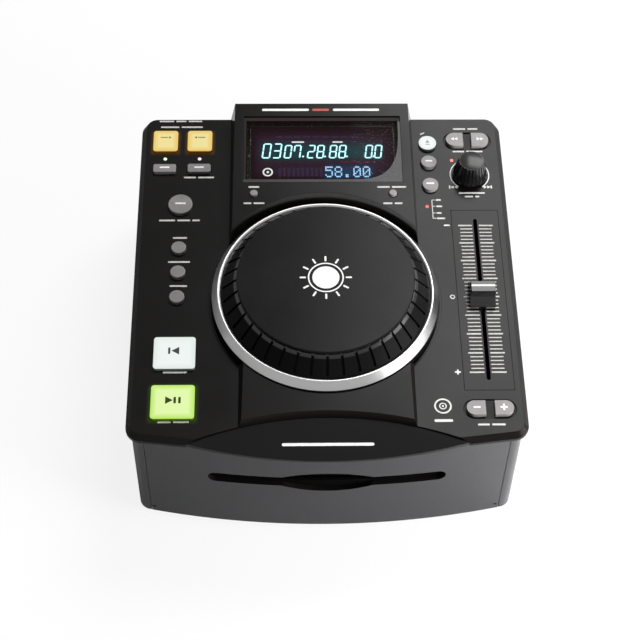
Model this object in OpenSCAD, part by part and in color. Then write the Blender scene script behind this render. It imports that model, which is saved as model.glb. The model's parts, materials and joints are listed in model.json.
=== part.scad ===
// Tabletop disc player for mixing, with a jog wheel, a pitch fader and a slot-in disc drive.
// Origin: on the table, under the middle of the player. +X right, +Y to the back, +Z up.

/* [Case] */
// Width across the top cover
body_w = 220; // [214:1:236]
// Depth from the nose of the fascia to the tips of the rear sockets
body_d = 240.2; // [238:0.2:256]
// Height of the control panel above the table
panel_z = 84.5; // [82:0.5:92]
// Gap between the table and the lower edge of the case
case_z = 4.5; // [3:0.5:5]
// Thickness of the top cover
cover_t = 2.5; // [2:0.1:3]
// Height of the skirt round the top cover
skirt_h = 5; // [4:0.5:8]
// Thickness of that skirt
skirt_t = 2.4; // [2:0.1:3]
// Width of the chamfer round the top cover
bevel = 3; // [1.5:0.1:3.5]
// Width of that chamfer along the back edge
back_bevel = 0.8; // [0.4:0.1:1.4]
// Radius of the cover's back corners
back_r = 9.4; // [7:0.2:14]
// Radius of the cover's front corners
front_r = 8.5; // [6:0.5:12]
// Angle of the cover's front edge beside the fascia
front_rake = 6.9; // [0:0.1:9]
// Thickness of the side and rear panels
wall = 1.8; // [1.2:0.1:2.4]
// Thickness of the front panel
front_t = 3; // [2.4:0.1:4]
// Distance of the front panel's two seams from the sides
seam_inset = 9.7; // [9.5:0.1:12]
// Radius of the front panel's curve, seen from above
front_curve = 500; // [440:10:700]
// Angle by which the front panel leans back
front_lean = 3.3; // [0:0.1:5]
// Thickness of the bottom plate
bottom_t = 1.5; // [1:0.1:2.5]
// Diameter of a rubber foot
foot_d = 20; // [14:1:26]
// Distance of a foot's middle from the side and from the back
foot_inset = 22; // [18:1:30]

/* [Fascia and deck] */
// Width of the fascia at its middle, front to back
fascia_w = 25.3; // [20:0.1:30]
// Radius of the fascia's back edge
fascia_back_r = 201.3; // [190:0.1:230]
// Radius of the fascia's front edge
fascia_front_r = 292; // [270:1:330]
// Slope of the fascia's top face, falling to the front
fascia_slope = 6.5; // [0:0.5:9]
// Height of the display housing's back edge above the panel
deck_rise = 14; // [12:0.5:18]
// Slope of the deck, falling to the front
deck_slope = 2.7; // [1:0.1:3]
// Distance of the display housing's foot from the sides
housing_inset = 54.5; // [53:0.5:56]
// Distance of the raised deck in front of the wheel from the sides
deck_inset = 61.2; // [58:0.2:66]
// Lean of the display housing's sides, from upright
deck_draft = 11.3; // [4:0.1:15]
// Lean of the raised deck's sides in front of the wheel, from upright
front_draft = 26; // [10:1:30]
// Thickness of the display housing's top
housing_t = 4.5; // [4:0.1:5]

/* [Display] */
// Land beside the display recess
recess_side = 8; // [7:0.5:10]
// Land between the display recess and the wheel's well
recess_gap = 7.5; // [6:0.1:11]
// Distance from the back edge to the display recess
recess_back = 9.8; // [8:0.1:14]
// Thickness of the tinted window
window_t = 1.3; // [1:0.1:2]
// Thickness of the bezel that lies on the window
bezel_t = 0.9; // [0.6:0.1:1.2]
// Width of the ledge that carries the window
ledge_w = 2.4; // [1.5:0.1:4]

/* [Jog wheel] */
// Land between the fascia and the wheel's well
jog_gap = 8.3; // [7:0.1:11]
// Gap between the round well in the panel and the cue key, side to side
well_gap = 3.45; // [1:0.05:5]
// Width of the sloping skirt between the trim ring and the touch plate
skirt_w = 10.5; // [8:0.1:16]
// Height of the touch plate's top above the panel
jog_rise = 22.2; // [20:0.1:26]
// Thickness of the touch plate
touch_t = 2.2; // [1.5:0.1:3]
// Width of the silver trim ring, from its foot to its top edge
trim_w = 4; // [3:0.1:5]
// Height of the trim ring's foot above the panel
trim_z = 5.6; // [5:0.1:7]
// Height of the trim ring's top edge above the panel
trim_top_z = 10.7; // [10:0.1:12]
// How far the well widens from its foot to its upper edge in the raised deck
well_flare = 2.9; // [1:0.1:4]
// Running gap between the dark flange under the trim ring and the foot of the well
flange_gap = 1.8; // [1.4:0.1:2.4]
// Running gap between that flange and the lip of the raised deck in front of the wheel
lip_gap = 0.4; // [0.3:0.1:0.8]
// Step from that flange in to the trim ring
trim_step = 0.2; // [0.2:0.1:0.6]
// Number of flutes round the skirt
flutes = 40; // [24:1:60]
// Width of a flute
flute_w = 1.6; // [0.8:0.1:2.5]
// Depth of a flute
flute_depth = 1.2; // [0.5:0.1:1.8]
// Land between a flute's round end and the foot of the skirt
flute_land = 1.4; // [0.6:0.1:3]
// Radius of the steel shaft
jog_shaft_r = 4; // [3:0.1:6]
// Wall of the bronze bush
jog_bush_t = 3; // [2:0.1:4]

/* [Keys] */
// How far a key stands above the panel
key_rise = 2.2; // [1.5:0.1:3]
// How far a key travels when it is pressed
key_travel = 0.8; // [0.4:0.1:1.2]
// Gap round a key in its hole
key_gap = 0.3; // [0.2:0.05:0.5]
// Distance of the left columns' middle from the left side
left_inset = 25.4; // [25:0.1:28]
// Distance between the two loop keys, middle to middle
loop_pitch = 20.8; // [19:0.1:22]
// Width of a loop key
loop_w = 14.9; // [12:0.1:16]
// Depth of a loop key
loop_d = 15.9; // [12:0.1:16.5]
// Width of the clear and exit keys
small_w = 13.7; // [10:0.1:15]
// Depth of the clear and exit keys
small_d = 6.2; // [5:0.1:8]
// Diameter of the tap key
tap_d = 14.4; // [11:0.1:17]
// Diameter of an effect key
effect_d = 8.8; // [7:0.1:11]
// Width of the cue key
cue_w = 23.3; // [20:0.1:26]
// Depth of the cue key
cue_d = 20.8; // [18:0.1:23]
// Width of the play key
play_w = 24; // [20:0.1:26]
// Depth of the play key
play_d = 21.3; // [18:0.1:23]
// Diameter of the time and continue keys on the display housing
dot_key_d = 4.6; // [3.6:0.1:6]
// Diameter of the eject key
eject_d = 10.7; // [9:0.1:12]
// Diameter of the key lock and range keys
mode_d = 9.7; // [8:0.1:11]
// Distance of that key column from the right side
mode_inset = 45.4; // [45:0.1:47]
// Width of a search or bend key
pair_w = 10.4; // [8:0.1:11]
// Depth of a search key
search_d = 10.4; // [8:0.1:11]
// Depth of a bend key
bend_d = 9; // [7:0.1:10]
// Distance between the two keys of a pair
pair_pitch = 15.5; // [14:0.1:17]
// Rim of a key frame beyond its keys
frame_rim = 1.5; // [1:0.1:2]

/* [Fader and knob] */
// Distance of the fader from the right side
fader_inset = 20.2; // [19.5:0.1:22]
// Length of the trim plate beyond the fader's travel, both ends together
fader_ends = 25; // [22:0.5:30]
// Width of the slot for the fader's stem
fader_slot_w = 2.2; // [1.8:0.1:3]
// Width of the trim plate
fader_plate_w = 27.7; // [24:0.1:30]
// Width of the fader cap
cap_w = 15; // [10:0.5:17]
// Length of the fader cap
cap_l = 17; // [14:0.5:20]
// Length of its flat top
cap_top_l = 7; // [5.5:0.5:9]
// Height of the fader cap
cap_h = 9.5; // [8.5:0.5:12]
// Radius of its hollow flanks
cap_flank_r = 7; // [5:0.5:8]
// Diameter of the parameter knob at its foot
knob_d = 20.8; // [18:0.2:23]
// Diameter of the parameter knob at its top
knob_top_d = 15.2; // [12:0.2:17]
// Height of the parameter knob's top above the panel
knob_rise = 13.5; // [11:0.5:17]
// Travel of the knob when it is pushed
knob_travel = 0.6; // [0.3:0.1:1]
// Radius of the encoder's shaft
encoder_r = 3; // [2.5:0.1:3.5]

/* [Disc drive] */
// Height of the disc's path above the table
disc_z = 50.4; // [49:0.1:52]
// Length of the slot in the front panel
slot_w = 132.4; // [126:0.2:136]
// Height of the slot in the front panel
slot_h = 8.4; // [7:0.1:10]
// Length of the finger relief
relief_w = 68.4; // [50:0.2:80]
// Height of the finger relief
relief_h = 18; // [14:0.5:20]
// Free height of the disc's path inside the drive
path_h = 5; // [4.6:0.1:5.6]
// Distance of the spindle from the nose of the fascia
spindle_from_front = 90; // [88:0.5:94]
// Outer radius of the turntable
turntable_r = 14; // [12:0.5:16]
// Radius of the feed roller
roller_r = 4; // [3:0.1:4.5]
// Radius of the guide rods
rod_r = 1.5; // [1:0.1:2]
// Radius of the lead screw
screw_r = 2; // [1.5:0.1:2.5]
// Travel of the pickup sled
sled_travel = 34; // [28:1:36]
// Fall of the clamp puck onto a disc
clamp_travel = 4; // [2:0.1:4.5]

/* [Layout] */
// Distance of the loop keys from the cover's back edge
loop_back = 19.4; // [18.4:0.1:21]
// Distance of the clear and exit keys from the back edge
small_back = 40.6; // [39.6:0.1:42]
// Distance of the tap key from the back edge
tap_back = 68.1; // [65:0.1:72]
// Place of the first effect key, as a share of the way from the tap key to the cue key
effect_first = 0.304; // [0.28:0.001:0.34]
// Step from one effect key to the next, as a share of the same way
effect_step = 0.166; // [0.14:0.001:0.18]
// Distance of the cue key from the nose of the fascia
cue_front = 66.4; // [65.5:0.1:67]
// Distance of the play key from the nose of the fascia
play_front = 34.6; // [33.6:0.1:35]
// Distance of the eject key from the back edge
eject_back = 21.2; // [18:0.1:21.5]
// Distance of the lock key from the back edge
lock_back = 36; // [35.5:0.1:38]
// Distance of the range key from the back edge
range_back = 53.4; // [52:0.1:56]
// Distance of the search keys from the back edge
search_back = 18.3; // [16:0.1:19]
// Distance of the bend keys from the nose of the fascia
bend_front = 30.1; // [28.5:0.1:30.5]
// Distance of the key pairs' middle from the right side
pair_inset = 20.9; // [20.5:0.1:22]
// Distance of the knob from the back edge
knob_back = 44.8; // [44:0.1:46]
// Distance of the knob from the right side
knob_inset = 21.1; // [20:0.1:22]
// Distance of the fader's trim plate from the nose of the fascia
plate_front = 42.3; // [41:0.1:46]
// Distance of the fader's trim plate from the back edge
plate_back = 71.9; // [66:0.1:74]
// Distance of the two small keys on the display housing from its sides
dot_side = 14.5; // [13:0.1:16]
// Distance of those keys behind the wheel's well
dot_gap = 12.3; // [11:0.1:13]

/* [Boards and rear] */
// Height of the control boards' underside below the panel
board_drop = 14.5; // [14:0.1:16]
// Thickness of a circuit board
board_t = 1.6; // [1:0.1:2]
// Diameter of an audio socket's barrel
socket_d = 8.3; // [7:0.1:9]
// How far the sockets stand out past the top cover
socket_reach = 1; // [0.5:0.1:3]
// Diameter of the rear power button
power_d = 10; // [8:0.5:13]
// Travel of the rear power button
power_travel = 3; // [2:0.1:4]

/* [Hidden] */
$fn = 96;
fit = 0.2;
seat = 0.3;
run = 0.05;
big = 400;
slab = 0.05;

// Planes and edges that the pieces share
front_y = -body_d / 2;
back_y = body_d / 2;
cover_back = back_y - socket_reach;
cover_half = body_w / 2;
cover_under = panel_z - cover_t;
skirt_z = panel_z - skirt_h;
front_panel_w = body_w - 2 * seam_inset;
wall_half = cover_half - skirt_t - fit;
inside_half = wall_half - wall;
rear_y = cover_back - skirt_t - fit;
corner_r = back_r - skirt_t;
corner_x = wall_half - corner_r;
case_front = front_y + 1;
corner_dy = front_curve - sqrt(pow(front_curve - corner_r, 2) - pow(corner_x, 2));
bottom_z = case_z + 0.7;
floor_z = bottom_z + bottom_t;

// Front edge of the top cover: flat behind the fascia, raked back to the corners
kink_x = 73.4;
kink_y = front_y + 9.4;
front_cx = cover_half - front_r;
front_cy = kink_y + (front_cx - kink_x) * tan(front_rake) + front_r / cos(front_rake);

// Fascia arcs
fascia_back = front_y + fascia_w;
fascia_gap = 0.15;

// Wheel
well_r = cover_half - left_inset - cue_w / 2 - well_gap;
jog_y = fascia_back + jog_gap + well_r;
well_foot_r = well_r - well_flare;
flange_r = well_foot_r - flange_gap;
lip_r = flange_r + lip_gap;
trim_r = flange_r - trim_step;
trim_top_r = trim_r - trim_w;
touch_r = trim_top_r - skirt_w;
pan_t = 2;
pan_r = well_r + 4;
hub_top = panel_z + jog_rise - touch_t - 2;
bush_z = cover_under + 1.2;
bush_r = jog_shaft_r + jog_bush_t;

// Rows and columns of keys
left_x = -cover_half + left_inset;
mode_x = cover_half - mode_inset;
housing_half = cover_half - housing_inset;
deck_half = cover_half - deck_inset;
dot_out = housing_half - dot_side;
dot_y = jog_y + sqrt(pow(well_r, 2) - pow(dot_out, 2)) + dot_gap;
knob_x = cover_half - knob_inset;
knob_y = cover_back - knob_back;
fader_x = cover_half - fader_inset;
fader_plate_l = cover_back - front_y - plate_front - plate_back;
fader_y = front_y + plate_front + fader_plate_l / 2;
fader_travel = (fader_plate_l - fader_ends) / 2;
fader_plate_t = 0.6;
fader_slot_l = 2 * fader_travel + 12;
loop_1_at = [left_x - loop_pitch / 2, cover_back - loop_back];
loop_2_at = [left_x + loop_pitch / 2, cover_back - loop_back];
clear_at = [left_x - loop_pitch / 2, cover_back - small_back];
exit_at = [left_x + loop_pitch / 2, cover_back - small_back];
tap_at = [left_x, cover_back - tap_back];
cue_at = [left_x, front_y + cue_front];
play_at = [left_x, front_y + play_front];
eject_at = [mode_x, cover_back - eject_back];
lock_at = [mode_x, cover_back - lock_back];
range_at = [mode_x, cover_back - range_back];
search_at = [cover_half - pair_inset, cover_back - search_back];
bend_at = [cover_half - pair_inset, front_y + bend_front];
knob_at = [knob_x, knob_y];

function effect_at(i) = [left_x, tap_at[1] - (tap_at[1] - cue_at[1]) * (effect_first + i * effect_step)];

// Lights: loop 1, loop 2, knob and range
light_r = 1;
light_at = [
    [left_x - loop_pitch / 2, cover_back - 32],
    [left_x + loop_pitch / 2, cover_back - 32],
    [cover_half - 31.2, cover_back - 33.6],
    [mode_x - 2.6, cover_back - 68.9]
];

// Key structure below the panel
board_z = panel_z - board_drop;
board_top = board_z + board_t;
switch_h = 4.6;
switch_w = 6;
flange_t = 1.2;
flange_over = 1;
stem_r = 2;
stem_z = board_top + switch_h + key_travel + fit;
frame_sink = 0.8;
frame_under = cover_under - 1.2;

// Display
recess_y = jog_y + well_r + recess_gap;
recess_d = cover_back - recess_back - recess_y;
recess_w = 2 * (housing_half - recess_side);
display_board_z = panel_z + 1;
dot_roof = panel_z + deck_rise - (cover_back - dot_y + dot_key_d) * tan(deck_slope);
dot_foot = dot_roof - housing_t - seat - flange_t;

// Drive
spindle_y = front_y + spindle_from_front;
path_low = disc_z - path_h / 2;
path_high = disc_z + path_h / 2;
drive_half = 70;
drive_z = 20;
drive_t = 1.5;
drive_front = front_y + 15.5;
roller_y = front_y + 20.2;
roller_half = 60;
bridge_z = path_high + 7;
rod_x = 26;
rod_z = drive_z + 13;
screw_x = 38;
rod_front = spindle_y - 6;
rod_block_l = 6;
sled_y = spindle_y + 26;
sled_l = 20;
rod_back = sled_y + sled_l / 2 + sled_travel + 1 + rod_block_l;
drive_back = rod_back + 6;
motor_h = 14;

// Rear
post_r = 3.6;
post_inset = 6;
screw_hole_r = 1.3;
socket_z = 42;
supply_x0 = 11.6 - inside_half;
supply_x1 = supply_x0 + 56;
main_x0 = supply_x1 + 8;
main_x1 = inside_half - 15.6;
power_x = supply_x0 + 6;
inlet_x = supply_x1 - 14;
inlet_w = 22;
inlet_h = 13;
audio_pitch = 16;
audio_x = main_x1 - 24 - 3 * audio_pitch;
main_z = floor_z + 6;
supply_z = floor_z + 4;

// ---- Outlines ----

function arc(cx, cy, r, from, to, n) =
    [for (i = [0:n]) [cx + r * cos(from + (to - from) * i / n), cy + r * sin(from + (to - from) * i / n)]];

function mirrored(points) = [for (i = [len(points) - 1:-1:0]) [-points[i][0], points[i][1]]];

function cover_right(inset, slip) = concat(
    [[kink_x, kink_y + inset]],
    arc(front_cx, front_cy, front_r - inset, -90 + front_rake, 0, 6),
    arc(cover_half - back_r, cover_back - back_r + slip, back_r - inset, 0, 90, 8)
);

// The cover seen from above, inset all round, with its back edge then moved out by slip
module cover_outline(inset, slip = 0) {
    polygon(concat(cover_right(inset, slip), mirrored(cover_right(inset, slip))));
}

module case_section(inset) {
    tangent_x = corner_x * (front_curve - inset) / (front_curve - corner_r);
    intersection() {
        translate([0, front_curve])
            circle(r = front_curve - inset, $fn = 480);
        translate([-tangent_x, 0])
            square([2 * tangent_x, big]);
    }
    for (side = [-1, 1])
        translate([side * corner_x, corner_dy])
            circle(r = corner_r - inset);
    translate([-(wall_half - inset), corner_dy])
        square([2 * (wall_half - inset), big]);
}

module rear_section(inset) {
    translate([-(wall_half - inset), -big])
        square([2 * (wall_half - inset), big + rear_y - corner_r]);
    translate([-corner_x, -big])
        square([2 * corner_x, big + rear_y - inset]);
    for (side = [-1, 1])
        translate([side * corner_x, rear_y - corner_r])
            circle(r = corner_r - inset);
}

// The volume inside the case walls, with a leaning and curved front
module case_solid(inset, z0, z1) {
    intersection() {
        translate([0, case_front, case_z])
            rotate([-front_lean, 0, 0])
                translate([0, 0, -20])
                    linear_extrude(height = panel_z + 40)
                        case_section(inset);
        translate([0, 0, z0])
            linear_extrude(height = z1 - z0)
                rear_section(inset);
    }
}

// The deck's sloping plane: children are placed from its back edge, z up from the plane
module on_deck() {
    translate([0, cover_back, panel_z + deck_rise])
        rotate([deck_slope, 0, 0])
            children();
}

// A prism with leaning sides under the deck's plane, lowered by drop
module deck_prism(half, y0, y1, z0, drop, draft = deck_draft) {
    top = panel_z + deck_rise + 2;
    slip = (top - panel_z) * tan(draft);
    foot = (z0 - panel_z) * tan(draft);
    difference() {
        translate([0, y1, 0])
            rotate([90, 0, 0])
                linear_extrude(height = y1 - y0)
                    polygon([[-half + foot, z0], [half - foot, z0], [half - slip, top], [-half + slip, top]]);
        on_deck()
            translate([-big / 2, -big, -drop])
                cube([big, 2 * big, 80]);
    }
}

module rounded_box_2d(w, d, r) {
    square([w - 2 * r, d], center = true);
    square([w, d - 2 * r], center = true);
    for (sx = [-1, 1], sy = [-1, 1])
        translate([sx * (w / 2 - r), sy * (d / 2 - r)])
            circle(r = r, $fn = 32);
}

// ---- Where each key is, with the shape of its cap ----

module box_key_2d(w, d, grow) {
    rounded_box_2d(w + 2 * grow, d + 2 * grow, min(1.8, d / 5));
}

module pair_key_2d(side, d, grow) {
    translate([side * (pair_w / 2 - d / 2), 0])
        circle(r = d / 2 + grow);
    translate([side * (pair_w / 2 - d / 2) / 2 - side * pair_w / 4, 0])
        square([pair_w / 2 + abs(pair_w / 2 - d / 2) + 2 * grow, d + 2 * grow], center = true);
}

module pill_2d(w, d) {
    square([w - d, d], center = true);
    for (side = [-1, 1])
        translate([side * (w - d) / 2, 0])
            circle(r = d / 2);
}

// A key: cap through the panel, flange under it, stem down to its switch
module key_body(at, under, top) {
    translate([at[0], at[1], 0]) {
        translate([0, 0, under - seat - flange_t])
            linear_extrude(height = top - under + seat + flange_t)
                children(0);
        translate([0, 0, under - seat - flange_t])
            linear_extrude(height = flange_t)
                children(1);
        translate([0, 0, stem_z])
            cylinder(r = stem_r, h = under - seat - stem_z);
    }
}

module box_key(at, w, d) {
    key_body(at, cover_under, panel_z + key_rise) {
        box_key_2d(w, d, 0);
        box_key_2d(w, d, flange_over);
    }
}

module round_key(at, d) {
    key_body(at, cover_under, panel_z + key_rise) {
        circle(r = d / 2);
        circle(r = d / 2 + flange_over);
    }
}

module pair_key(at, side, d) {
    key_body([at[0] + side * pair_pitch / 2, at[1]], frame_under, panel_z + key_rise - 0.4) {
        pair_key_2d(side, d, 0);
        pair_key_2d(side, d, flange_over - 0.4);
    }
}

// ---- Case ----

module key_holes() {
    for (at = [loop_1_at, loop_2_at])
        translate(at)
            box_key_2d(loop_w, loop_d, key_gap);
    for (at = [clear_at, exit_at])
        translate(at)
            box_key_2d(small_w, small_d, key_gap);
    translate(tap_at)
        circle(r = tap_d / 2 + key_gap);
    for (i = [0:2])
        translate(effect_at(i))
            circle(r = effect_d / 2 + key_gap);
    translate(cue_at)
        box_key_2d(cue_w, cue_d, key_gap);
    translate(play_at)
        box_key_2d(play_w, play_d, key_gap);
    translate(eject_at)
        circle(r = eject_d / 2 + key_gap);
    for (at = [lock_at, range_at])
        translate(at)
            circle(r = mode_d / 2 + key_gap);
    translate(search_at)
        pill_2d(pair_pitch + pair_w + 2 * frame_rim + 2 * fit, search_d + 2 * frame_rim + 2 * fit);
    translate(bend_at)
        pill_2d(pair_pitch + pair_w + 2 * frame_rim + 2 * fit, bend_d + 2 * frame_rim + 2 * fit);
    translate(knob_at)
        circle(r = encoder_r + 1.5);
    translate([fader_x, fader_y])
        pill_turned(fader_slot_w + 2 * fit, fader_slot_l);
    for (at = light_at)
        translate(at)
            circle(r = light_r + run, $fn = 32);
}

module pill_turned(w, l) {
    rotate(90)
        pill_2d(l, w);
}

// Round well for the wheel: straight through the panel, wider towards the top of the raised deck
module well_cutter(under) {
    well_rise = deck_rise - (cover_back - jog_y - well_r) * tan(deck_slope);
    over = deck_rise + 6;
    translate([0, jog_y, under])
        cylinder(r = well_foot_r, h = panel_z + slab - under, $fn = 192);
    translate([0, jog_y, panel_z])
        cylinder(r1 = well_foot_r, r2 = well_foot_r + well_flare * over / well_rise, h = over, $fn = 192);
}

module board_posts(points) {
    for (at = points)
        translate([at[0], at[1], board_top])
            cylinder(r = 2.5, h = cover_under + 0.5 - board_top, $fn = 32);
}

board_post_at = [
    [left_x - 17, clear_at[1] - 9], [left_x, clear_at[1] - 9],
    [left_x - 17, (cue_at[1] + play_at[1]) / 2], [left_x, (cue_at[1] + play_at[1]) / 2],
    [mode_x + 13, range_at[1] - 6], [mode_x + 12, jog_y - 28], [mode_x - 6, front_y + 40]
];

case_post_at = [
    for (sx = [-1, 1], y = [cover_back - 57, front_y + 88])
        [sx * (inside_half - post_inset), y]
];

module top_cover() {
    color("#1c1c1d")
    difference() {
        union() {
            difference() {
                hull() {
                    translate([0, 0, skirt_z])
                        linear_extrude(height = skirt_h - bevel)
                            cover_outline(0);
                    translate([0, 0, panel_z - slab])
                        linear_extrude(height = slab)
                            cover_outline(bevel, bevel - back_bevel);
                }
                translate([0, 0, skirt_z - 1])
                    linear_extrude(height = skirt_h + 1 - cover_t)
                        cover_outline(skirt_t);
                well_cutter(cover_under - 1);
            }
            // Raised deck in front of the wheel, with a lip close round it
            difference() {
                deck_prism(deck_half, fascia_back - 20, jog_y - 30, cover_under, 0, front_draft);
                translate([0, jog_y, cover_under - 1])
                    cylinder(r = lip_r, h = deck_rise + 20, $fn = 192);
            }
            // Square step under the display housing, where the chamfer stops
            translate([-housing_half, cover_back - skirt_t, skirt_z])
                cube([2 * housing_half, skirt_t, skirt_h]);
            translate([-housing_half, cover_back - back_r, cover_under])
                cube([2 * housing_half, back_r, cover_t]);
            board_posts(board_post_at);
            for (at = case_post_at)
                translate([at[0], at[1], floor_z])
                    cylinder(r = post_r, h = cover_under + 0.5 - floor_z, $fn = 48);
        }
        // Arc that the fascia fills, with a bevel where the raised deck ends
        translate([0, fascia_back - fascia_back_r, skirt_z - 1])
            cylinder(r = fascia_back_r + fascia_gap, h = skirt_h + 1.01, $fn = 480);
        translate([0, fascia_back - fascia_back_r, panel_z])
            cylinder(r1 = fascia_back_r + fascia_gap, r2 = fascia_back_r + fascia_gap + 5, h = 10, $fn = 480);
        translate([0, 0, cover_under - 1])
            linear_extrude(height = cover_t + 2)
                key_holes();
        translate([fader_x, fader_y, panel_z - fader_plate_t])
            linear_extrude(height = 2)
                square([fader_plate_w + 2 * fit, fader_plate_l + 2 * fit], center = true);
        for (at = case_post_at)
            translate([at[0], at[1], floor_z - 1])
                cylinder(r = screw_hole_r, h = 25, $fn = 32);
    }
}

module display_housing() {
    color("#222223")
    difference() {
        deck_prism(housing_half, jog_y + 20, cover_back, panel_z, 0);
        well_cutter(panel_z - 1);
        // Hollow for the display module
        difference() {
            deck_prism(housing_half - 3, jog_y + 20, cover_back - 2.4, panel_z - 1, housing_t);
            translate([0, jog_y, panel_z - 2])
                cylinder(r = well_r + 2.4, h = 60, $fn = 192);
        }
        // Recess and opening for the window
        on_deck()
            translate([-recess_w / 2, -recess_back - recess_d, -window_t - bezel_t])
                cube([recess_w, recess_d, 10]);
        on_deck()
            translate([-recess_w / 2 + ledge_w, -recess_back - recess_d + ledge_w, -30])
                cube([recess_w - 2 * ledge_w, recess_d - 2 * ledge_w, 40]);
        for (side = [-1, 1])
            translate([side * dot_out, dot_y, panel_z + 2])
                cylinder(r = dot_key_d / 2 + key_gap, h = 20);
    }
}

module lens_2d() {
    intersection() {
        translate([0, fascia_back - fascia_back_r])
            circle(r = fascia_back_r, $fn = 480);
        translate([0, front_y + fascia_front_r])
            circle(r = fascia_front_r, $fn = 480);
    }
}

module front_fascia() {
    color("#0c0c0d")
    difference() {
        translate([0, 0, skirt_z])
            linear_extrude(height = skirt_h)
                lens_2d();
        translate([0, fascia_back, panel_z])
            rotate([fascia_slope, 0, 0])
                translate([-big / 2, -big + 60, 0])
                    cube([big, big, 30]);
    }
}

module slot_cutter(w, h, rise) {
    translate([0, front_y + 30, disc_z])
        rotate([90, 0, 0])
            linear_extrude(height = 60)
                translate([0, rise])
                    pill_2d(w, h);
}

module relief_cutter() {
    reach = (pow(relief_w / 2, 2) + pow(relief_h / 2, 2)) / relief_h;
    translate([0, front_y + 30, disc_z])
        rotate([90, 0, 0])
            linear_extrude(height = 60)
                intersection() {
                    translate([0, reach - relief_h / 2])
                        circle(r = reach, $fn = 192);
                    translate([0, relief_h / 2 - reach])
                        circle(r = reach, $fn = 192);
                }
}

module front_panel() {
    color("#4a4a4c")
    difference() {
        intersection() {
            difference() {
                case_solid(0, case_z, skirt_z);
                case_solid(front_t, case_z - 1, skirt_z + 1);
            }
            translate([-front_panel_w / 2, -big, 0])
                cube([front_panel_w, big - 40, big]);
        }
        slot_cutter(slot_w, slot_h, 0);
        relief_cutter();
    }
}

module side_panels() {
    color("#444446")
    difference() {
        case_solid(0, case_z, cover_under);
        case_solid(wall, case_z - 1, cover_under + 1);
        translate([-front_panel_w / 2 - fit, -big, 0])
            cube([front_panel_w + 2 * fit, 2 * big, big]);
    }
}

module rear_panel() {
    color("#3a3a3c")
    difference() {
        intersection() {
            difference() {
                case_solid(0, case_z, cover_under);
                case_solid(wall, case_z - 1, cover_under + 1);
            }
            translate([-front_panel_w / 2, 40, 0])
                cube([front_panel_w, big, big]);
        }
        translate([power_x, rear_y, socket_z])
            rotate([90, 0, 0])
                cylinder(r = power_d / 2 + key_gap, h = 20, center = true);
        for (x = socket_xs)
            translate([x, rear_y, socket_z])
                rotate([90, 0, 0])
                    cylinder(r = socket_d / 2 + fit, h = 20, center = true);
        translate([inlet_x - inlet_w / 2 - fit, rear_y - 10, socket_z - inlet_h / 2 - fit])
            cube([inlet_w + 2 * fit, 20, inlet_h + 2 * fit]);
        // Cooling slots beside the power supply
        for (i = [0:5])
            translate([power_x + 6 + i * 6, rear_y - 10, socket_z + 18])
                cube([2.5, 20, 12]);
    }
}

module bottom_plate() {
    color("#3c3c3e")
    difference() {
        union() {
            difference() {
                case_solid(wall + fit, bottom_z, floor_z);
                // Room for the thicker front panel
                difference() {
                    translate([-front_panel_w / 2 - fit, -big, bottom_z - 1])
                        cube([front_panel_w + 2 * fit, big - 40, bottom_t + 2]);
                    case_solid(front_t + fit, bottom_z - 2, floor_z + 2);
                }
            }
            // Standoffs for the main board and the power supply
            for (at = main_post_at)
                translate([at[0], at[1], floor_z - 0.5])
                    cylinder(r = 3, h = main_z - floor_z + 0.5, $fn = 32);
            for (at = supply_post_at)
                translate([at[0], at[1], floor_z - 0.5])
                    cylinder(r = 3, h = supply_z - floor_z + 0.5, $fn = 32);
        }
        for (at = case_post_at)
            translate([at[0], at[1], bottom_z - 1])
                cylinder(r = screw_hole_r + 0.4, h = bottom_t + 2, $fn = 32);
        // Cooling slots under the power supply
        for (i = [0:7])
            translate([supply_x0 + 10 + i * 6, main_y0 + 12, bottom_z - 1])
                cube([2.5, 17, bottom_t + 2]);
    }
}

foot_at = [
    for (sx = [-1, 1], y = [front_y + foot_inset + 12, rear_y - foot_inset])
        [sx * (wall_half - foot_inset), y]
];

module feet() {
    color("#151515")
    for (at = foot_at)
        translate([at[0], at[1], 0])
            difference() {
                union() {
                    cylinder(r1 = foot_d / 2 - 1.2, r2 = foot_d / 2, h = 1.5);
                    translate([0, 0, 1.5])
                        cylinder(r = foot_d / 2, h = bottom_z - 1.5);
                }
                translate([0, 0, -1])
                    cylinder(r = foot_d / 5, h = 3);
            }
}

module case_screws() {
    color("#8a8a8a")
    for (at = case_post_at)
        translate([at[0], at[1], bottom_z - 1.8]) {
            difference() {
                cylinder(r = 3, h = 1.8, $fn = 32);
                for (a = [0, 90])
                    rotate(a)
                        translate([-1.6, -0.35, -0.1])
                            cube([3.2, 0.7, 1]);
            }
            cylinder(r = screw_hole_r - run, h = 14, $fn = 32);
        }
}

// ---- Display ----

// Visible part of the window: straight at the left, swept round at the lower right
sweep_w = 30;
sweep_power = 3.2;

function sweep(t) = [
    recess_w / 2 - 1.6 - sweep_w + sweep_w * pow(cos(t), 2 / sweep_power),
    -recess_back - 4 - (recess_d - 6) * pow(sin(t), 2 / sweep_power)
];

module display_bezel() {
    half = recess_w / 2 - fit;
    front = -recess_back - recess_d + fit;
    color("#77757a")
    on_deck()
        translate([0, 0, -bezel_t])
            linear_extrude(height = bezel_t - 0.2)
                polygon(concat(
                    [for (i = [0:24]) sweep(90 * i / 24)],
                    [[-half, sweep(90)[1]], [-half, front], [half, front], [half, sweep(0)[1]]]
                ));
}

module display_window() {
    color("#16121c", 0.6)
    on_deck()
        translate([-recess_w / 2 + fit, -recess_back - recess_d + fit, -window_t - bezel_t])
            cube([recess_w - 2 * fit, recess_d - 2 * fit, window_t]);
}

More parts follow.
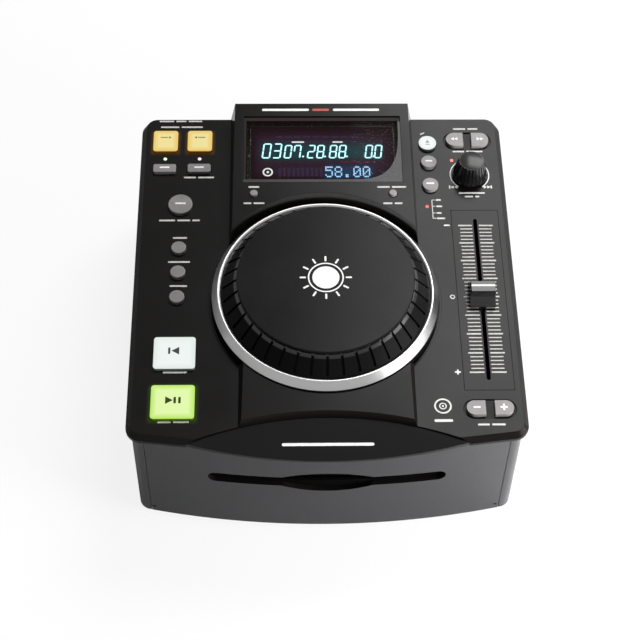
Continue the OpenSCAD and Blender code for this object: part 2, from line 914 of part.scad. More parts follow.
module display_module() {
    tab_y = dot_y - 4;
    board_back = cover_back - 6;
    color("#1d4a34")
    difference() {
        union() {
            translate([-housing_half + 8, recess_y, display_board_z])
                cube([2 * housing_half - 16, board_back - recess_y, board_t]);
            for (side = [-1, 1])
                translate([side * dot_out - 6, tab_y, display_board_z])
                    cube([12, recess_y - tab_y + 1, board_t]);
            for (sx = [-1, 1], y = [recess_y + 4, board_back - 4])
                translate([sx * (housing_half - 12), y, panel_z])
                    cylinder(r = 2, h = 1.2, $fn = 32);
            // Glass tube of the display and its two switches
            on_deck()
                translate([-recess_w / 2 + 4, -recess_back - recess_d + 4, -housing_t - 3.5])
                    cube([recess_w - 8, recess_d - 8, 3.5]);
            translate([-recess_w / 2 + 8, recess_y + 6, display_board_z + 0.5])
                cube([recess_w - 16, recess_d - 14, 5]);
            for (side = [-1, 1])
                translate([side * dot_out - 3, dot_y - 3, display_board_z + 0.5])
                    cube([6, 6, dot_foot - key_travel - fit - display_board_z - 0.5]);
        }
    }
}

// ---- Jog wheel ----

module jog_touch_plate() {
    color("#202021")
    translate([0, jog_y, panel_z + jog_rise - touch_t]) {
        cylinder(r = touch_r, h = touch_t - 0.6, $fn = 192);
        translate([0, 0, touch_t - 0.6])
            cylinder(r1 = touch_r, r2 = touch_r - 0.6, h = 0.6, $fn = 192);
    }
}

module jog_wheel() {
    skirt_top = panel_z + jog_rise - touch_t;
    skirt_foot = panel_z + trim_top_z - 1.2;
    flange_top = panel_z + trim_z - 1;
    skirt_slope = atan((skirt_top - skirt_foot - 2) / (skirt_w - 2.8));
    color("#18181a")
    translate([0, jog_y, 0])
    difference() {
        rotate_extrude($fn = 192)
            polygon([
                [bush_r + run, panel_z + 1],
                [bush_r + 5, panel_z + 1],
                [bush_r + 5, hub_top - 2],
                [touch_r - 8, hub_top - 2],
                [trim_top_r - 5.4, skirt_foot],
                [trim_top_r - 5.4, panel_z + 0.8],
                [flange_r, panel_z + 0.8],
                [flange_r, flange_top],
                [trim_top_r - 1.2, flange_top],
                [trim_top_r - 1.2, skirt_foot + 0.6],
                [touch_r + 1.6, skirt_top - 1.4],
                [touch_r + 0.2, skirt_top],
                [bush_r + 3, skirt_top],
                [bush_r + 3, hub_top],
                [bush_r + run, hub_top]
            ]);
        // Flutes down the sloping skirt, with round ends
        for (i = [0:flutes - 1])
            rotate([0, 0, i * 360 / flutes])
                translate([trim_top_r - 1.2, 0, skirt_foot + 0.6])
                    rotate([0, skirt_slope - 90, 0])
                        translate([-flute_depth, 0, flute_land + flute_w / 2]) {
                            translate([0, -flute_w / 2, 0])
                                cube([flute_depth + 4, flute_w, jog_rise]);
                            rotate([0, 90, 0])
                                cylinder(r = flute_w / 2, h = flute_depth + 4, $fn = 24);
                        }
    }
}

module jog_trim_ring() {
    color("#c9c9cb")
    translate([0, jog_y, panel_z])
        rotate_extrude($fn = 192)
            polygon([
                [trim_r - 2.4, trim_z - 1],
                [trim_r - 0.6, trim_z - 1],
                [trim_r, trim_z - 0.4],
                [trim_r, trim_z + 0.2],
                [trim_top_r + 0.6, trim_top_z],
                [trim_top_r, trim_top_z],
                [trim_top_r - 1, trim_top_z - 0.6],
                [trim_top_r - 1, trim_z - 1]
            ]);
}

module jog_bush() {
    color("#b08d57")
    translate([0, jog_y, bush_z])
    difference() {
        union() {
            cylinder(r = bush_r, h = hub_top - bush_z);
            cylinder(r = bush_r + 2.5, h = panel_z + 1 - bush_z);
        }
        translate([0, 0, -1])
            cylinder(r = jog_shaft_r + run, h = hub_top - bush_z + 2);
    }
}

module jog_shaft() {
    color("#b5b8bc")
    translate([0, jog_y, 0]) {
        translate([0, 0, board_z])
            cylinder(r = jog_shaft_r, h = hub_top + 0.6 - board_z);
        translate([0, 0, board_z])
            cylinder(r = jog_shaft_r + 3, h = 2);
        // Head that keeps the bush on the shaft
        translate([0, 0, hub_top + 0.2])
            cylinder(r = jog_shaft_r + 1.6, h = 1.2);
    }
}

module jog_carrier() {
    color("#2a2a2c")
    translate([0, jog_y, 0])
    difference() {
        union() {
            translate([0, 0, cover_under - pan_t])
                cylinder(r = pan_r, h = pan_t, $fn = 192);
            translate([0, 0, board_z + 2])
                cylinder(r = jog_shaft_r + 6, h = bush_z - fit - board_z - 2);
            for (a = [0:60:300])
                rotate(a)
                    translate([0, -1, cover_under - pan_t - 5])
                        cube([well_r - 4, 2, 5.5]);
            // Pulse sensor under the pan
            translate([30, -6, cover_under - pan_t - 7])
                cube([16, 12, 8]);
        }
        translate([0, 0, board_z - 1])
            cylinder(r = jog_shaft_r + 0.01, h = 40);
    }
}

// ---- Keys ----

module loop_key_1() {
    color("#ffd070")
        box_key(loop_1_at, loop_w, loop_d);
}

module loop_key_2() {
    color("#ffd070")
        box_key(loop_2_at, loop_w, loop_d);
}

module clear_key() {
    color("#8d8890")
        box_key(clear_at, small_w, small_d);
}

module exit_key() {
    color("#8d8890")
        box_key(exit_at, small_w, small_d);
}

module tap_key() {
    color("#8d8890")
        round_key(tap_at, tap_d);
}

module effect_key_1() {
    color("#8d8890")
        round_key(effect_at(0), effect_d);
}

module effect_key_2() {
    color("#8d8890")
        round_key(effect_at(1), effect_d);
}

module effect_key_3() {
    color("#8d8890")
        round_key(effect_at(2), effect_d);
}

module cue_key() {
    color("#f4f6f4")
        box_key(cue_at, cue_w, cue_d);
}

module play_key() {
    color("#b8ee5a")
        box_key(play_at, play_w, play_d);
}

// A small key on the display housing, over its own switch on the display board
module dot_key(side) {
    translate([side * dot_out, dot_y, dot_foot]) {
        cylinder(r = dot_key_d / 2, h = housing_t + seat + flange_t + 1.6, $fn = 48);
        cylinder(r = dot_key_d / 2 + flange_over, h = flange_t, $fn = 48);
    }
}

module time_key() {
    color("#8d8890")
        dot_key(-1);
}

module continue_key() {
    color("#8d8890")
        dot_key(1);
}

module eject_key() {
    color("#f4f6f4")
        round_key(eject_at, eject_d);
}

module lock_key() {
    color("#8d8890")
        round_key(lock_at, mode_d);
}

module range_key() {
    color("#8d8890")
        round_key(range_at, mode_d);
}

module search_back_key() {
    color("#8d8890")
        pair_key(search_at, -1, search_d);
}

module search_forward_key() {
    color("#8d8890")
        pair_key(search_at, 1, search_d);
}

module bend_minus_key() {
    color("#8d8890")
        pair_key(bend_at, -1, bend_d);
}

module bend_plus_key() {
    color("#8d8890")
        pair_key(bend_at, 1, bend_d);
}

module power_button() {
    color("#1b1b1c")
    translate([power_x, 0, socket_z]) {
        translate([0, back_y, 0])
            rotate([90, 0, 0])
                cylinder(r = power_d / 2, h = back_y - rear_y + wall + seat + 2);
        translate([0, rear_y - wall - seat, 0])
            rotate([90, 0, 0])
                cylinder(r = power_d / 2 + 1.5, h = 2);
        translate([0, rear_y - wall - seat - 1, 0])
            rotate([90, 0, 0])
                cylinder(r = 2, h = 8);
    }
}

module key_frame(at, d) {
    w = pair_pitch + pair_w;
    translate([at[0], at[1], 0])
    difference() {
        union() {
            translate([0, 0, frame_under])
                linear_extrude(height = panel_z - frame_sink - frame_under)
                    pill_2d(w + 2 * frame_rim, d + 2 * frame_rim);
            translate([0, 0, frame_under])
                linear_extrude(height = cover_under - frame_under)
                    pill_2d(w + 2 * frame_rim + 2.4, d + 2 * frame_rim + 2.4);
        }
        for (side = [-1, 1])
            translate([side * pair_pitch / 2, 0, frame_under - 1])
                linear_extrude(height = 10)
                    pair_key_2d(side, d, key_gap);
    }
}

module key_frames() {
    color("#101011") {
        key_frame(search_at, search_d);
        key_frame(bend_at, bend_d);
    }
}

module status_lights() {
    color("#e84030")
    for (at = light_at)
        translate([at[0], at[1], board_top])
            cylinder(r = light_r, h = panel_z + 0.3 - board_top, $fn = 32);
}

// ---- Knob and fader ----

module parameter_knob() {
    foot = panel_z + knob_travel + seat;
    top = panel_z + knob_rise;
    flank_h = top - foot - 1.4;
    lean = atan((knob_d - knob_top_d) / 2 / flank_h);
    color("#141415")
    translate([knob_x, knob_y, 0])
    difference() {
        union() {
            translate([0, 0, foot])
                cylinder(r = knob_d / 2, h = 1);
            translate([0, 0, foot + 1])
                cylinder(r1 = knob_d / 2, r2 = knob_top_d / 2, h = flank_h);
            translate([0, 0, top - 0.4])
                cylinder(r1 = knob_top_d / 2, r2 = knob_top_d / 2 - 0.4, h = 0.4);
        }
        // Flutes down the flank
        for (i = [0:23])
            rotate([0, 0, i * 15])
                translate([knob_d / 2 + 0.2, 0, foot + 1])
                    rotate([0, -lean, 0])
                        cylinder(r = 0.7, h = 20, $fn = 24);
        translate([0, 0, foot - 1])
            cylinder(r = encoder_r + run, h = knob_rise - 3);
    }
}

module encoder_shaft() {
    color("#b5b8bc")
    translate([knob_x, knob_y, 0]) {
        translate([0, 0, board_top + 3 + knob_travel])
            cylinder(r = encoder_r, h = knob_rise + board_drop - board_t - 7 - knob_travel);
        translate([0, 0, board_top + 3 + knob_travel])
            cylinder(r = encoder_r + 1, h = 1.6);
    }
}

module encoder_body() {
    color("#7b7f84")
    translate([knob_x, knob_y, board_top])
    difference() {
        union() {
            translate([-6.5, -6, 0])
                cube([13, 12, 6.8]);
            cylinder(r = encoder_r + 1.2, h = 11);
        }
        translate([0, 0, 1.5])
            cylinder(r = encoder_r + run, h = 20);
        translate([0, 0, 2.4])
            cylinder(r = encoder_r + 1.1, h = 2.9 + knob_travel);
    }
}

module fader_cap() {
    foot = panel_z + 1.2;
    color("#1a1a1b")
    translate([fader_x, fader_y, foot])
    difference() {
        translate([0, cap_l / 2, 0])
            rotate([90, 0, 0])
                linear_extrude(height = cap_l)
                    polygon([[-cap_w / 2, 0], [cap_w / 2, 0], [cap_w / 2 - 0.5, cap_h], [-cap_w / 2 + 0.5, cap_h]]);
        // Hollow flanks in front of the flat top and behind it
        for (side = [-1, 1])
            translate([-cap_w, side * (cap_top_l / 2 + cap_flank_r), cap_flank_r + 1.3])
                rotate([0, 90, 0])
                    cylinder(r = cap_flank_r, h = 2 * cap_w, $fn = 96);
        // Socket for the carriage's blade
        translate([-0.6 - run, -2.5 - run, -1])
            cube([1.2 + 2 * run, 5 + 2 * run, 5]);
    }
}

fader_body_z = cover_under - 13;

module fader_carriage() {
    color("#a8abae")
    translate([fader_x, fader_y, 0]) {
        translate([-0.6, -2.5, fader_body_z + 6])
            cube([1.2, 5, panel_z + 1.2 + 3.8 - fader_body_z - 6]);
        translate([-3, -5, fader_body_z + 4])
            cube([6, 10, 4]);
    }
}

module fader_body() {
    length = fader_slot_l + 6;
    color("#9a9da1")
    translate([fader_x, fader_y, fader_body_z])
    difference() {
        translate([-6, -length / 2, 0])
            cube([12, length, cover_under - fader_body_z]);
        translate([-4.5, -length / 2 + 1, 3])
            cube([9, length - 2, 6.5]);
        translate([-fader_slot_w / 2, -fader_slot_l / 2, 3])
            cube([fader_slot_w, fader_slot_l, 20]);
    }
}

module fader_plate() {
    color("#1a1a1b")
    translate([fader_x, fader_y, panel_z - fader_plate_t])
    linear_extrude(height = fader_plate_t)
        difference() {
            square([fader_plate_w, fader_plate_l], center = true);
            pill_turned(fader_slot_w, fader_slot_l);
        }
}

// ---- Boards ----

module tact_switch(at) {
    translate([at[0], at[1], board_top - 0.5]) {
        translate([-switch_w / 2, -switch_w / 2, 0])
            cube([switch_w, switch_w, switch_h - 0.5]);
        cylinder(r = 1.7, h = switch_h + 0.5, $fn = 32);
    }
}

module post_clearance() {
    for (at = case_post_at)
        translate([at[0], at[1], board_z - 1])
            cylinder(r = post_r + 0.5, h = board_t + 2, $fn = 32);
}

module control_boards() {
    edge = cover_half - 5.5;
    left_in = -60;
    fader_clear = 8;
    board_y0 = front_y + 22;
    board_l = cover_back - 11 - board_y0;
    color("#1d4a34") {
        difference() {
            translate([-edge, board_y0, board_z])
                cube([edge + left_in, board_l, board_t]);
            post_clearance();
        }
        for (at = [loop_1_at, loop_2_at, clear_at, exit_at, tap_at, cue_at, play_at])
            tact_switch(at);
        for (i = [0:2])
            tact_switch(effect_at(i));
        // The right board goes round the fader
        difference() {
            translate([mode_x - 9, board_y0, board_z])
                cube([edge - mode_x + 9, board_l, board_t]);
            translate([fader_x - fader_clear, fader_y - fader_slot_l / 2 - 5, board_z - 1])
                cube([big, fader_slot_l + 10, board_t + 2]);
            post_clearance();
        }
        for (at = [eject_at, lock_at, range_at])
            tact_switch(at);
        for (at = [search_at, bend_at], side = [-1, 1])
            tact_switch([at[0] + side * pair_pitch / 2, at[1]]);
    }
}

main_y0 = drive_back + 1;
main_y1 = rear_y - wall - 3;
main_post_at = [for (x = [main_x0 + 5, main_x1 - 5], y = [main_y0 + 5, main_y1 - 5]) [x, y]];
supply_post_at = [for (x = [supply_x0 + 5, supply_x1 - 5], y = [main_y0 + 5, main_y1 - 5]) [x, y]];
socket_xs = [audio_x, audio_x + audio_pitch, audio_x + 2 * audio_pitch, audio_x + 3 * audio_pitch];

module main_board() {
    color("#1d4a34")
    union() {
        translate([main_x0, main_y0, main_z])
            cube([main_x1 - main_x0, main_y1 - main_y0, board_t]);
        translate([main_x0 + 10, main_y0 + 8, main_z + 1])
            cube([24, 24, 3]);
        translate([main_x0 + 42, main_y0 + 8, main_z + 1])
            cube([18, 12, 2.6]);
        for (i = [0:3])
            translate([main_x1 - 36 + i * 10, main_y0 + 12, main_z + 1])
                cylinder(r = 4, h = 12, $fn = 32);
    }
}

module power_supply() {
    color("#6d6a3c")
    union() {
        translate([supply_x0, main_y0, supply_z])
            cube([supply_x1 - supply_x0, main_y1 - main_y0, board_t]);
        translate([supply_x0 + 8, main_y0 + 8, supply_z + 1])
            cube([26, 22, 20]);
        translate([supply_x0 + 44, main_y0 + 16, supply_z + 1])
            cylinder(r = 8, h = 22, $fn = 48);
        // Switch block behind the rear power button
        translate([power_x - 6, rear_y - wall - 26, supply_z + 1])
            cube([12, 12, socket_z + 6 - supply_z]);
    }
}

module rear_sockets() {
    block = 13;
    depth = 16;
    inlet_back = back_y - 1.2;
    color("#232324") {
        for (x = socket_xs)
            difference() {
                union() {
                    translate([x - block / 2, rear_y - wall - depth, main_z + board_t])
                        cube([block, depth, socket_z + block / 2 - main_z - board_t]);
                    translate([x, back_y, socket_z])
                        rotate([90, 0, 0])
                            cylinder(r = socket_d / 2, h = back_y - rear_y + wall + 1);
                }
                translate([x, back_y + 1, socket_z])
                    rotate([90, 0, 0])
                        cylinder(r = 1.6, h = 12, $fn = 48);
            }
        // Power inlet, open to the back
        translate([inlet_x, 0, socket_z])
        difference() {
            union() {
                translate([-inlet_w / 2, rear_y - wall - 14, -inlet_h / 2])
                    cube([inlet_w, inlet_back - rear_y + wall + 14, inlet_h]);
                translate([-inlet_w / 2 - 3, rear_y, -inlet_h / 2 - 3])
                    cube([inlet_w + 6, inlet_back - rear_y, inlet_h + 6]);
                // Pins down to the power supply's board
                translate([-6, rear_y - wall - 12, supply_z + board_t - socket_z])
                    cube([12, 6, socket_z - supply_z - board_t - inlet_h / 2 + 1]);
            }
            translate([-inlet_w / 2 + 2, rear_y - wall - 10, -inlet_h / 2 + 2])
                cube([inlet_w - 4, 40, inlet_h - 4]);
        }
    }
}

// ---- Slot-in disc drive ----

module drive_frame() {
    top = bridge_z + drive_t;
    length = drive_back - drive_front;
    color("#a2a5a9")
    difference() {
        union() {
            translate([-drive_half, drive_front, drive_z])
                cube([2 * drive_half, length, drive_t]);
            for (side = [-1, 1])
                translate([side * (drive_half - drive_t / 2) - drive_t / 2, drive_front, drive_z])
                    cube([drive_t, length, top - drive_z]);
            // Bridge that carries the clamp puck
            translate([-drive_half, spindle_y - 20, bridge_z])
                cube([2 * drive_half, 40, drive_t]);
            // Upper guide over the feed roller
            translate([-drive_half, drive_front + 1, path_high])
                cube([2 * drive_half, 9, drive_t]);
            // Blocks that hold the guide rods
            for (side = [-1, 1], y = [rod_front, rod_back - rod_block_l])
                translate([side * rod_x - 4, y, drive_z + 1])
                    cube([8, rod_block_l, rod_z + 4 - drive_z - 1]);
            translate([screw_x - 4, rod_back - rod_block_l, drive_z + 1])
                cube([8, rod_block_l, rod_z + 4 - drive_z - 1]);
            // Legs down to the bottom plate
            for (side = [-1, 1], y = [drive_front + 8, drive_back - 8])
                translate([side * (drive_half - 8), y, floor_z])
                    cylinder(r = 4, h = drive_z + 0.5 - floor_z, $fn = 48);
        }
        translate([0, roller_y, path_low - roller_r])
            rotate([0, 90, 0])
                cylinder(r = rod_r + run, h = 3 * drive_half, center = true);
        translate([0, spindle_y, bridge_z - 1])
            cylinder(r = 6 + seat, h = drive_t + 2);
        for (x = [-rod_x, rod_x])
            translate([x, rod_front - 1, rod_z])
                rotate([-90, 0, 0])
                    cylinder(r = rod_r + 0.01, h = rod_back - rod_front + 2);
        translate([screw_x, rod_back - rod_block_l - 1, rod_z])
            rotate([-90, 0, 0])
                cylinder(r = screw_r + run, h = rod_block_l + 2);
    }
}

module turntable() {
    top = path_low - 0.4;
    motor_top = drive_z + drive_t + motor_h;
    color("#2b2b2d")
    translate([0, spindle_y, 0]) {
        translate([0, 0, top - 4.5])
            cylinder(r = turntable_r, h = 2.5);
        translate([0, 0, top - 2.1])
            cylinder(r1 = 7.4, r2 = 6.2, h = 2.1);
        translate([0, 0, motor_top + seat])
            cylinder(r = 5, h = top - 4 - motor_top - seat);
        translate([0, 0, motor_top - 9])
            cylinder(r = 1.5, h = 12, $fn = 48);
    }
}

module clamp_puck() {
    low = path_high + 0.8;
    color("#2b2b2d")
    translate([0, spindle_y, 0]) {
        translate([0, 0, low])
            cylinder(r = turntable_r - 1, h = 4);
        translate([0, 0, low + 3])
            cylinder(r = 6, h = bridge_z + drive_t + clamp_travel + 1 - low - 3);
        translate([0, 0, bridge_z + drive_t + clamp_travel + 0.3])
            cylinder(r = 10, h = 1.5);
    }
}

module feed_roller() {
    color("#303032")
    translate([0, roller_y, path_low - roller_r])
        rotate([0, 90, 0]) {
            cylinder(r = roller_r - 0.2, h = 2 * roller_half, center = true);
            cylinder(r = rod_r, h = 2 * drive_half + 4, center = true);
        }
}

module pickup_sled() {
    low = drive_z + drive_t + 3;
    arm = screw_x + screw_r + 3;
    color("#3a3a3d")
    difference() {
        union() {
            translate([-rod_x - 4, sled_y - sled_l / 2, low])
                cube([2 * rod_x + 8, sled_l, rod_z + 4 - low]);
            translate([rod_x, sled_y - 4, rod_z - screw_r - 2.5])
                cube([arm - rod_x, 8, 2 * screw_r + 5]);
            // Lens on the spindle's side of the sled
            translate([0, sled_y - 4, rod_z + 3])
                cylinder(r = 5, h = 4.5, $fn = 48);
        }
        for (x = [-rod_x, rod_x])
            translate([x, sled_y, rod_z])
                rotate([90, 0, 0])
                    cylinder(r = rod_r + run, h = 3 * sled_l, center = true);
        translate([screw_x, sled_y, rod_z])
            rotate([90, 0, 0])
                cylinder(r = screw_r + run, h = 3 * sled_l, center = true);
    }
}

module guide_rods() {
    color("#c4c7ca")
    for (x = [-rod_x, rod_x])
        translate([x, rod_front, rod_z])
            rotate([-90, 0, 0])
                cylinder(r = rod_r, h = rod_back - rod_front);
}

module lead_screw() {
    color("#c4c7ca")
    translate([screw_x, rod_front, rod_z])
        rotate([-90, 0, 0])
            cylinder(r = screw_r, h = rod_back - rod_front);
}

module drive_motors() {
    sled_motor_l = 16;
    color("#8f9297") {
        // Spindle motor, with a bore for the turntable's shaft
        translate([0, spindle_y, drive_z + drive_t])
        difference() {
            cylinder(r = 12, h = motor_h);
            translate([0, 0, 4])
                cylinder(r = 1.5 + run, h = motor_h, $fn = 48);
        }
        // Sled motor, with a bore for the lead screw
        difference() {
            union() {
                translate([screw_x, spindle_y - 1, rod_z])
                    rotate([90, 0, 0])
                        cylinder(r = 6.5, h = sled_motor_l);
                translate([screw_x - 5, spindle_y - 1 - sled_motor_l, drive_z + drive_t])
                    cube([10, sled_motor_l, rod_z - drive_z - drive_t]);
            }
            translate([screw_x, spindle_y + 1, rod_z])
                rotate([90, 0, 0])
                    cylinder(r = screw_r + run, h = 8);
        }
        // Feed motor beside the roller
        translate([drive_half - drive_t - 24, roller_y + 14, drive_z + drive_t])
            cube([22, 18, 16]);
    }
}

module slot_felt() {
    color("#0a0a0a")
    difference() {
        intersection() {
            difference() {
                case_solid(front_t + run, floor_z, skirt_z);
                case_solid(front_t + 1.6, floor_z - 1, skirt_z + 1);
            }
            translate([-slot_w / 2 - 5, -big, disc_z - relief_h / 2 - 4])
                cube([slot_w + 10, big - 40, relief_h + 8]);
        }
        slot_cutter(2 * roller_half + 5, path_h, 0);
    }
}

top_cover();
display_housing();
front_fascia();
front_panel();
side_panels();
bottom_plate();
rear_panel();
feet();
case_screws();
display_window();
display_bezel();
display_module();
jog_touch_plate();
jog_wheel();
jog_trim_ring();
jog_bush();
jog_shaft();
jog_carrier();
loop_key_1();
loop_key_2();
clear_key();
exit_key();
tap_key();
effect_key_1();
effect_key_2();
effect_key_3();
cue_key();
play_key();
time_key();
continue_key();
eject_key();
lock_key();
range_key();
search_back_key();
search_forward_key();
bend_minus_key();
bend_plus_key();
power_button();
key_frames();
status_lights();
parameter_knob();
encoder_shaft();
encoder_body();
fader_cap();
fader_carriage();
fader_body();
fader_plate();
control_boards();
main_board();
power_supply();
rear_sockets();
drive_frame();
turntable();
clamp_puck();
feed_roller();
pickup_sled();
lead_screw();
guide_rods();
drive_motors();
slot_felt();
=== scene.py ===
"""Looks for a tabletop disc player: finishes, printing, lights and small pieces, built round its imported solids."""

import json
import math

import bpy
from bpy.props import FloatProperty, FloatVectorProperty, IntProperty, PointerProperty
from mathutils import Matrix, Vector

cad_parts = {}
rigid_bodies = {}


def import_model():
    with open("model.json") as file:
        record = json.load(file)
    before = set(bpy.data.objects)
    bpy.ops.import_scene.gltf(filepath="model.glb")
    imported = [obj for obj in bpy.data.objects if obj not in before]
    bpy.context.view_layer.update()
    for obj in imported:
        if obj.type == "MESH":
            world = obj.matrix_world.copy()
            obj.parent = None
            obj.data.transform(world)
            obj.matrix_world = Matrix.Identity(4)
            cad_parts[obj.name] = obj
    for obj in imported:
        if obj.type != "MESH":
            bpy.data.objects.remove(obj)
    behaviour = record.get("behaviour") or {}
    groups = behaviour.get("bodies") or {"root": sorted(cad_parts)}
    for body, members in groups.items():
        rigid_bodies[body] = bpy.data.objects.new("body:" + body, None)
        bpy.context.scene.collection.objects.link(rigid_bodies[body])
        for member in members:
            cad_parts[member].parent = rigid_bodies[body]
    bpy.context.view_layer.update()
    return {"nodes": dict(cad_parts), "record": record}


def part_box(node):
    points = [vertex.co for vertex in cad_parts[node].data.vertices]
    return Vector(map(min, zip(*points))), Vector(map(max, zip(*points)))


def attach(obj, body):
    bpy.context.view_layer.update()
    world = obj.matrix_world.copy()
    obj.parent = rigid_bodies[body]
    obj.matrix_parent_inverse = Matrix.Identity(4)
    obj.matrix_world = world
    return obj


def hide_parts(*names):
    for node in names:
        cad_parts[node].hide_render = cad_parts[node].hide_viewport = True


bl_info = {
    "name": "Tabletop disc player",
    "version": (1, 0, 0),
    "blender": (4, 5, 0),
    "location": "View3D > Sidebar > Disc player",
    "description": "Dresses the solids of a tabletop disc player with modelled pieces and finishes",
    "category": "Object",
}

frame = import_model()
BODIES = frame["record"]["behaviour"]["bodies"]
BODY_OF = {node: body for body, nodes in BODIES.items() for node in nodes}
MM = 0.001

# Planes that carry printing: y and z of a line across each one in millimetres, and its slope in degrees
PANEL = (0.0, 84.5, 0.0)
DECK = (119.1, 98.5, 2.7)
FASCIA = (-94.8, 84.5, 6.5)
TUBE = (119.1, 94.0, 2.7)
TOUCH = (0.0, 106.64, 0.0)
WINDOW = (119.1, 97.6, 2.7)

# Middle of the wheel, how high printing stands, and how far a key's flange runs out under the cover
JOG_Y = -17.0
PRINT = 0.04
KEY_FLANGE = 1.0

# Reach of the hollow wall behind the wheel, from the wheel's middle and from the table
WELL_R, WELL_Z = 70.5, 84.0

# Reach of the disc slot, and the front panel's face: y and z of its lowest line, its radius and its lean
SLOT_HALF, SLOT_LOW, SLOT_HIGH = 68.0, 38.0, 63.0
FRONT_Y, FRONT_Z, FRONT_R, FRONT_LEAN = -119.1, 4.5, 500.0, 3.3

# Strength of the lit keys, and the lean of the display's figures in degrees
KEY_GLOW = 0.86
LEAN = 7.0

# Spots on the rear panel: x of each socket, their height, and how far back their washers and bands sit
SOCKETS = (
    (18.0, "white", "#e8e6e0"), (34.0, "red", "#b3201c"), (50.0, "orange", "#d8741c"), (66.0, "black", "#161616"),
)
SOCKET_Z, WASHER_Y, BAND_Y = 42.0, 116.52, 118.5

# The fader's scale: its upper end, its length, the gap at the slot, and the width and depth of long and short marks
SCALE_TOP, SCALE_LENGTH, SCALE_GAP = 35.9, 102.2, 2.0
LONG_MARK, SHORT_MARK = (8.3, 0.95), (7.3, 0.7)

# Lamps: place and aim in metres, width, height and power
LAMPS = (
    ("Soft box, back right", (0.641, 1.025, 1.46), (0.548, -0.049, 0.08), 1.1, 1.0, 37.0),
    ("Soft box, right", (1.1, -0.42, 0.26), (0.0, -0.03, 0.06), 0.9, 0.5, 7.5),
    ("Fill, front right", (0.55, -0.27, 0.16), (0.08, -0.1, 0.04), 0.35, 0.3, 9.0),
)

# Soft light of the surroundings, and the share of plain white in the floor
SOFT_LIGHT, FLOOR_WHITE = 0.17, 0.85

# Camera: place in metres, pitch, yaw and roll in degrees, focal length and width in picture points, sensor in mm
CAMERA_AT = (-0.02431, -0.53951, 0.84256)
CAMERA_TURN = (56.117, 2.383, 1.728)
FOCAL, PICTURE, SENSOR = 1611.53, 640, 36.0

# Keys with the plain grey finish
GREY_KEYS = (
    "clear_key", "exit_key", "tap_key", "effect_key_1", "effect_key_2", "effect_key_3", "time_key", "continue_key",
    "lock_key", "range_key", "search_back_key", "search_forward_key", "bend_minus_key", "bend_plus_key",
)

# Lit keys, each with its tone in the middle, at the rim and down the sides
AMBER = ("#eee39c", "#eac260", "#3c2204")
WHITE = ("#eef4f1", "#dfe8e4", "#1c1e1d")
GREEN = ("#e4f9b1", "#b6e458", "#1e3002")
LIT_KEYS = {"loop_key_1": AMBER, "loop_key_2": AMBER, "cue_key": WHITE, "play_key": GREEN, "eject_key": WHITE}

# Captions as rows of plain dashes: middle x, y, the dashes' widths, and the plane
CAPTIONS = (
    (-86.4, 117.0, (9.0, 6.2, 8.4), PANEL), (-85.7, 112.3, (11.4, 13.0), PANEL), (-74.2, 72.7, (7.2, 9.6), PANEL),
    (-84.9, 40.3, (9.4, 7.6, 4.4), PANEL), (-84.2, 27.4, (8.2,), PANEL), (-84.2, 10.0, (12.7,), PANEL),
    (-84.1, -7.0, (10.0,), PANEL), (-84.0, -65.4, (13.3,), PANEL), (-84.0, -97.2, (7.2, 8.6), PANEL),
    (-40.9, 56.5, (6.4,), DECK), (-40.8, 44.8, (4.6, 6.4), DECK), (40.6, 56.3, (7.4, 8.4), DECK),
    (40.8, 44.5, (5.4, 4.6), DECK), (88.7, 110.5, (7.6, 6.2), PANEL), (89.0, 92.5, (7.0, 10.0), PANEL),
    (89.4, 60.3, (15.6,), PANEL), (89.3, 57.6, (5.0, 2.4), PANEL), (89.3, -99.8, (6.4, 7.4), PANEL),
    (68.9, 55.1, (3.0,), PANEL), (69.2, 50.3, (3.6,), PANEL), (68.9, 45.3, (3.0,), PANEL), (69.8, 41.3, (5.0,), PANEL),
)
DASH_GAP, DASH_DEPTH = 1.3, 1.15

# Lit segments of each figure: top, upper right, lower right, bottom, lower left, upper left, middle
FIGURES = {"0": "abcdef", "2": "abdeg", "3": "abcdg", "7": "abcf", "8": "abcdefg"}

# Figures of the upper row: text, x of the first, pitch, width and height
GROUPS = (
    ("03", -33.4, 6.3, 4.3, 10.4), ("07", -20.6, 5.6, 3.7, 9.2), ("28", -6.6, 5.6, 3.7, 9.2),
    ("88", 6.6, 5.6, 3.7, 9.2), ("00", 28.2, 5.6, 3.7, 9.2),
)

# Dot figures of the lower row, seven rows from the top
DOT_FIGURES = {
    "5": ("11111", "10000", "11110", "00001", "00001", "10001", "01110"),
    "8": ("01110", "10001", "10001", "01110", "10001", "10001", "01110"),
    "0": ("01110", "10001", "10011", "10101", "11001", "10001", "01110"),
    ".": ("00000", "00000", "00000", "00000", "00000", "01100", "01100"),
}


def linear(text):
    """Linear RGBA of an sRGB hex colour."""
    values = [int(text[i : i + 2], 16) / 255 for i in (1, 3, 5)]
    return [v / 12.92 if v <= 0.04045 else ((v + 0.055) / 1.055) ** 2.4 for v in values] + [1.0]


def shade(colour, share):
    """A colour, linear or as sRGB hex text, made darker or lighter by a share, as linear RGBA."""
    colour = linear(colour) if isinstance(colour, str) else colour
    return [min(1.0, c * share) for c in colour[:3]] + [1.0]


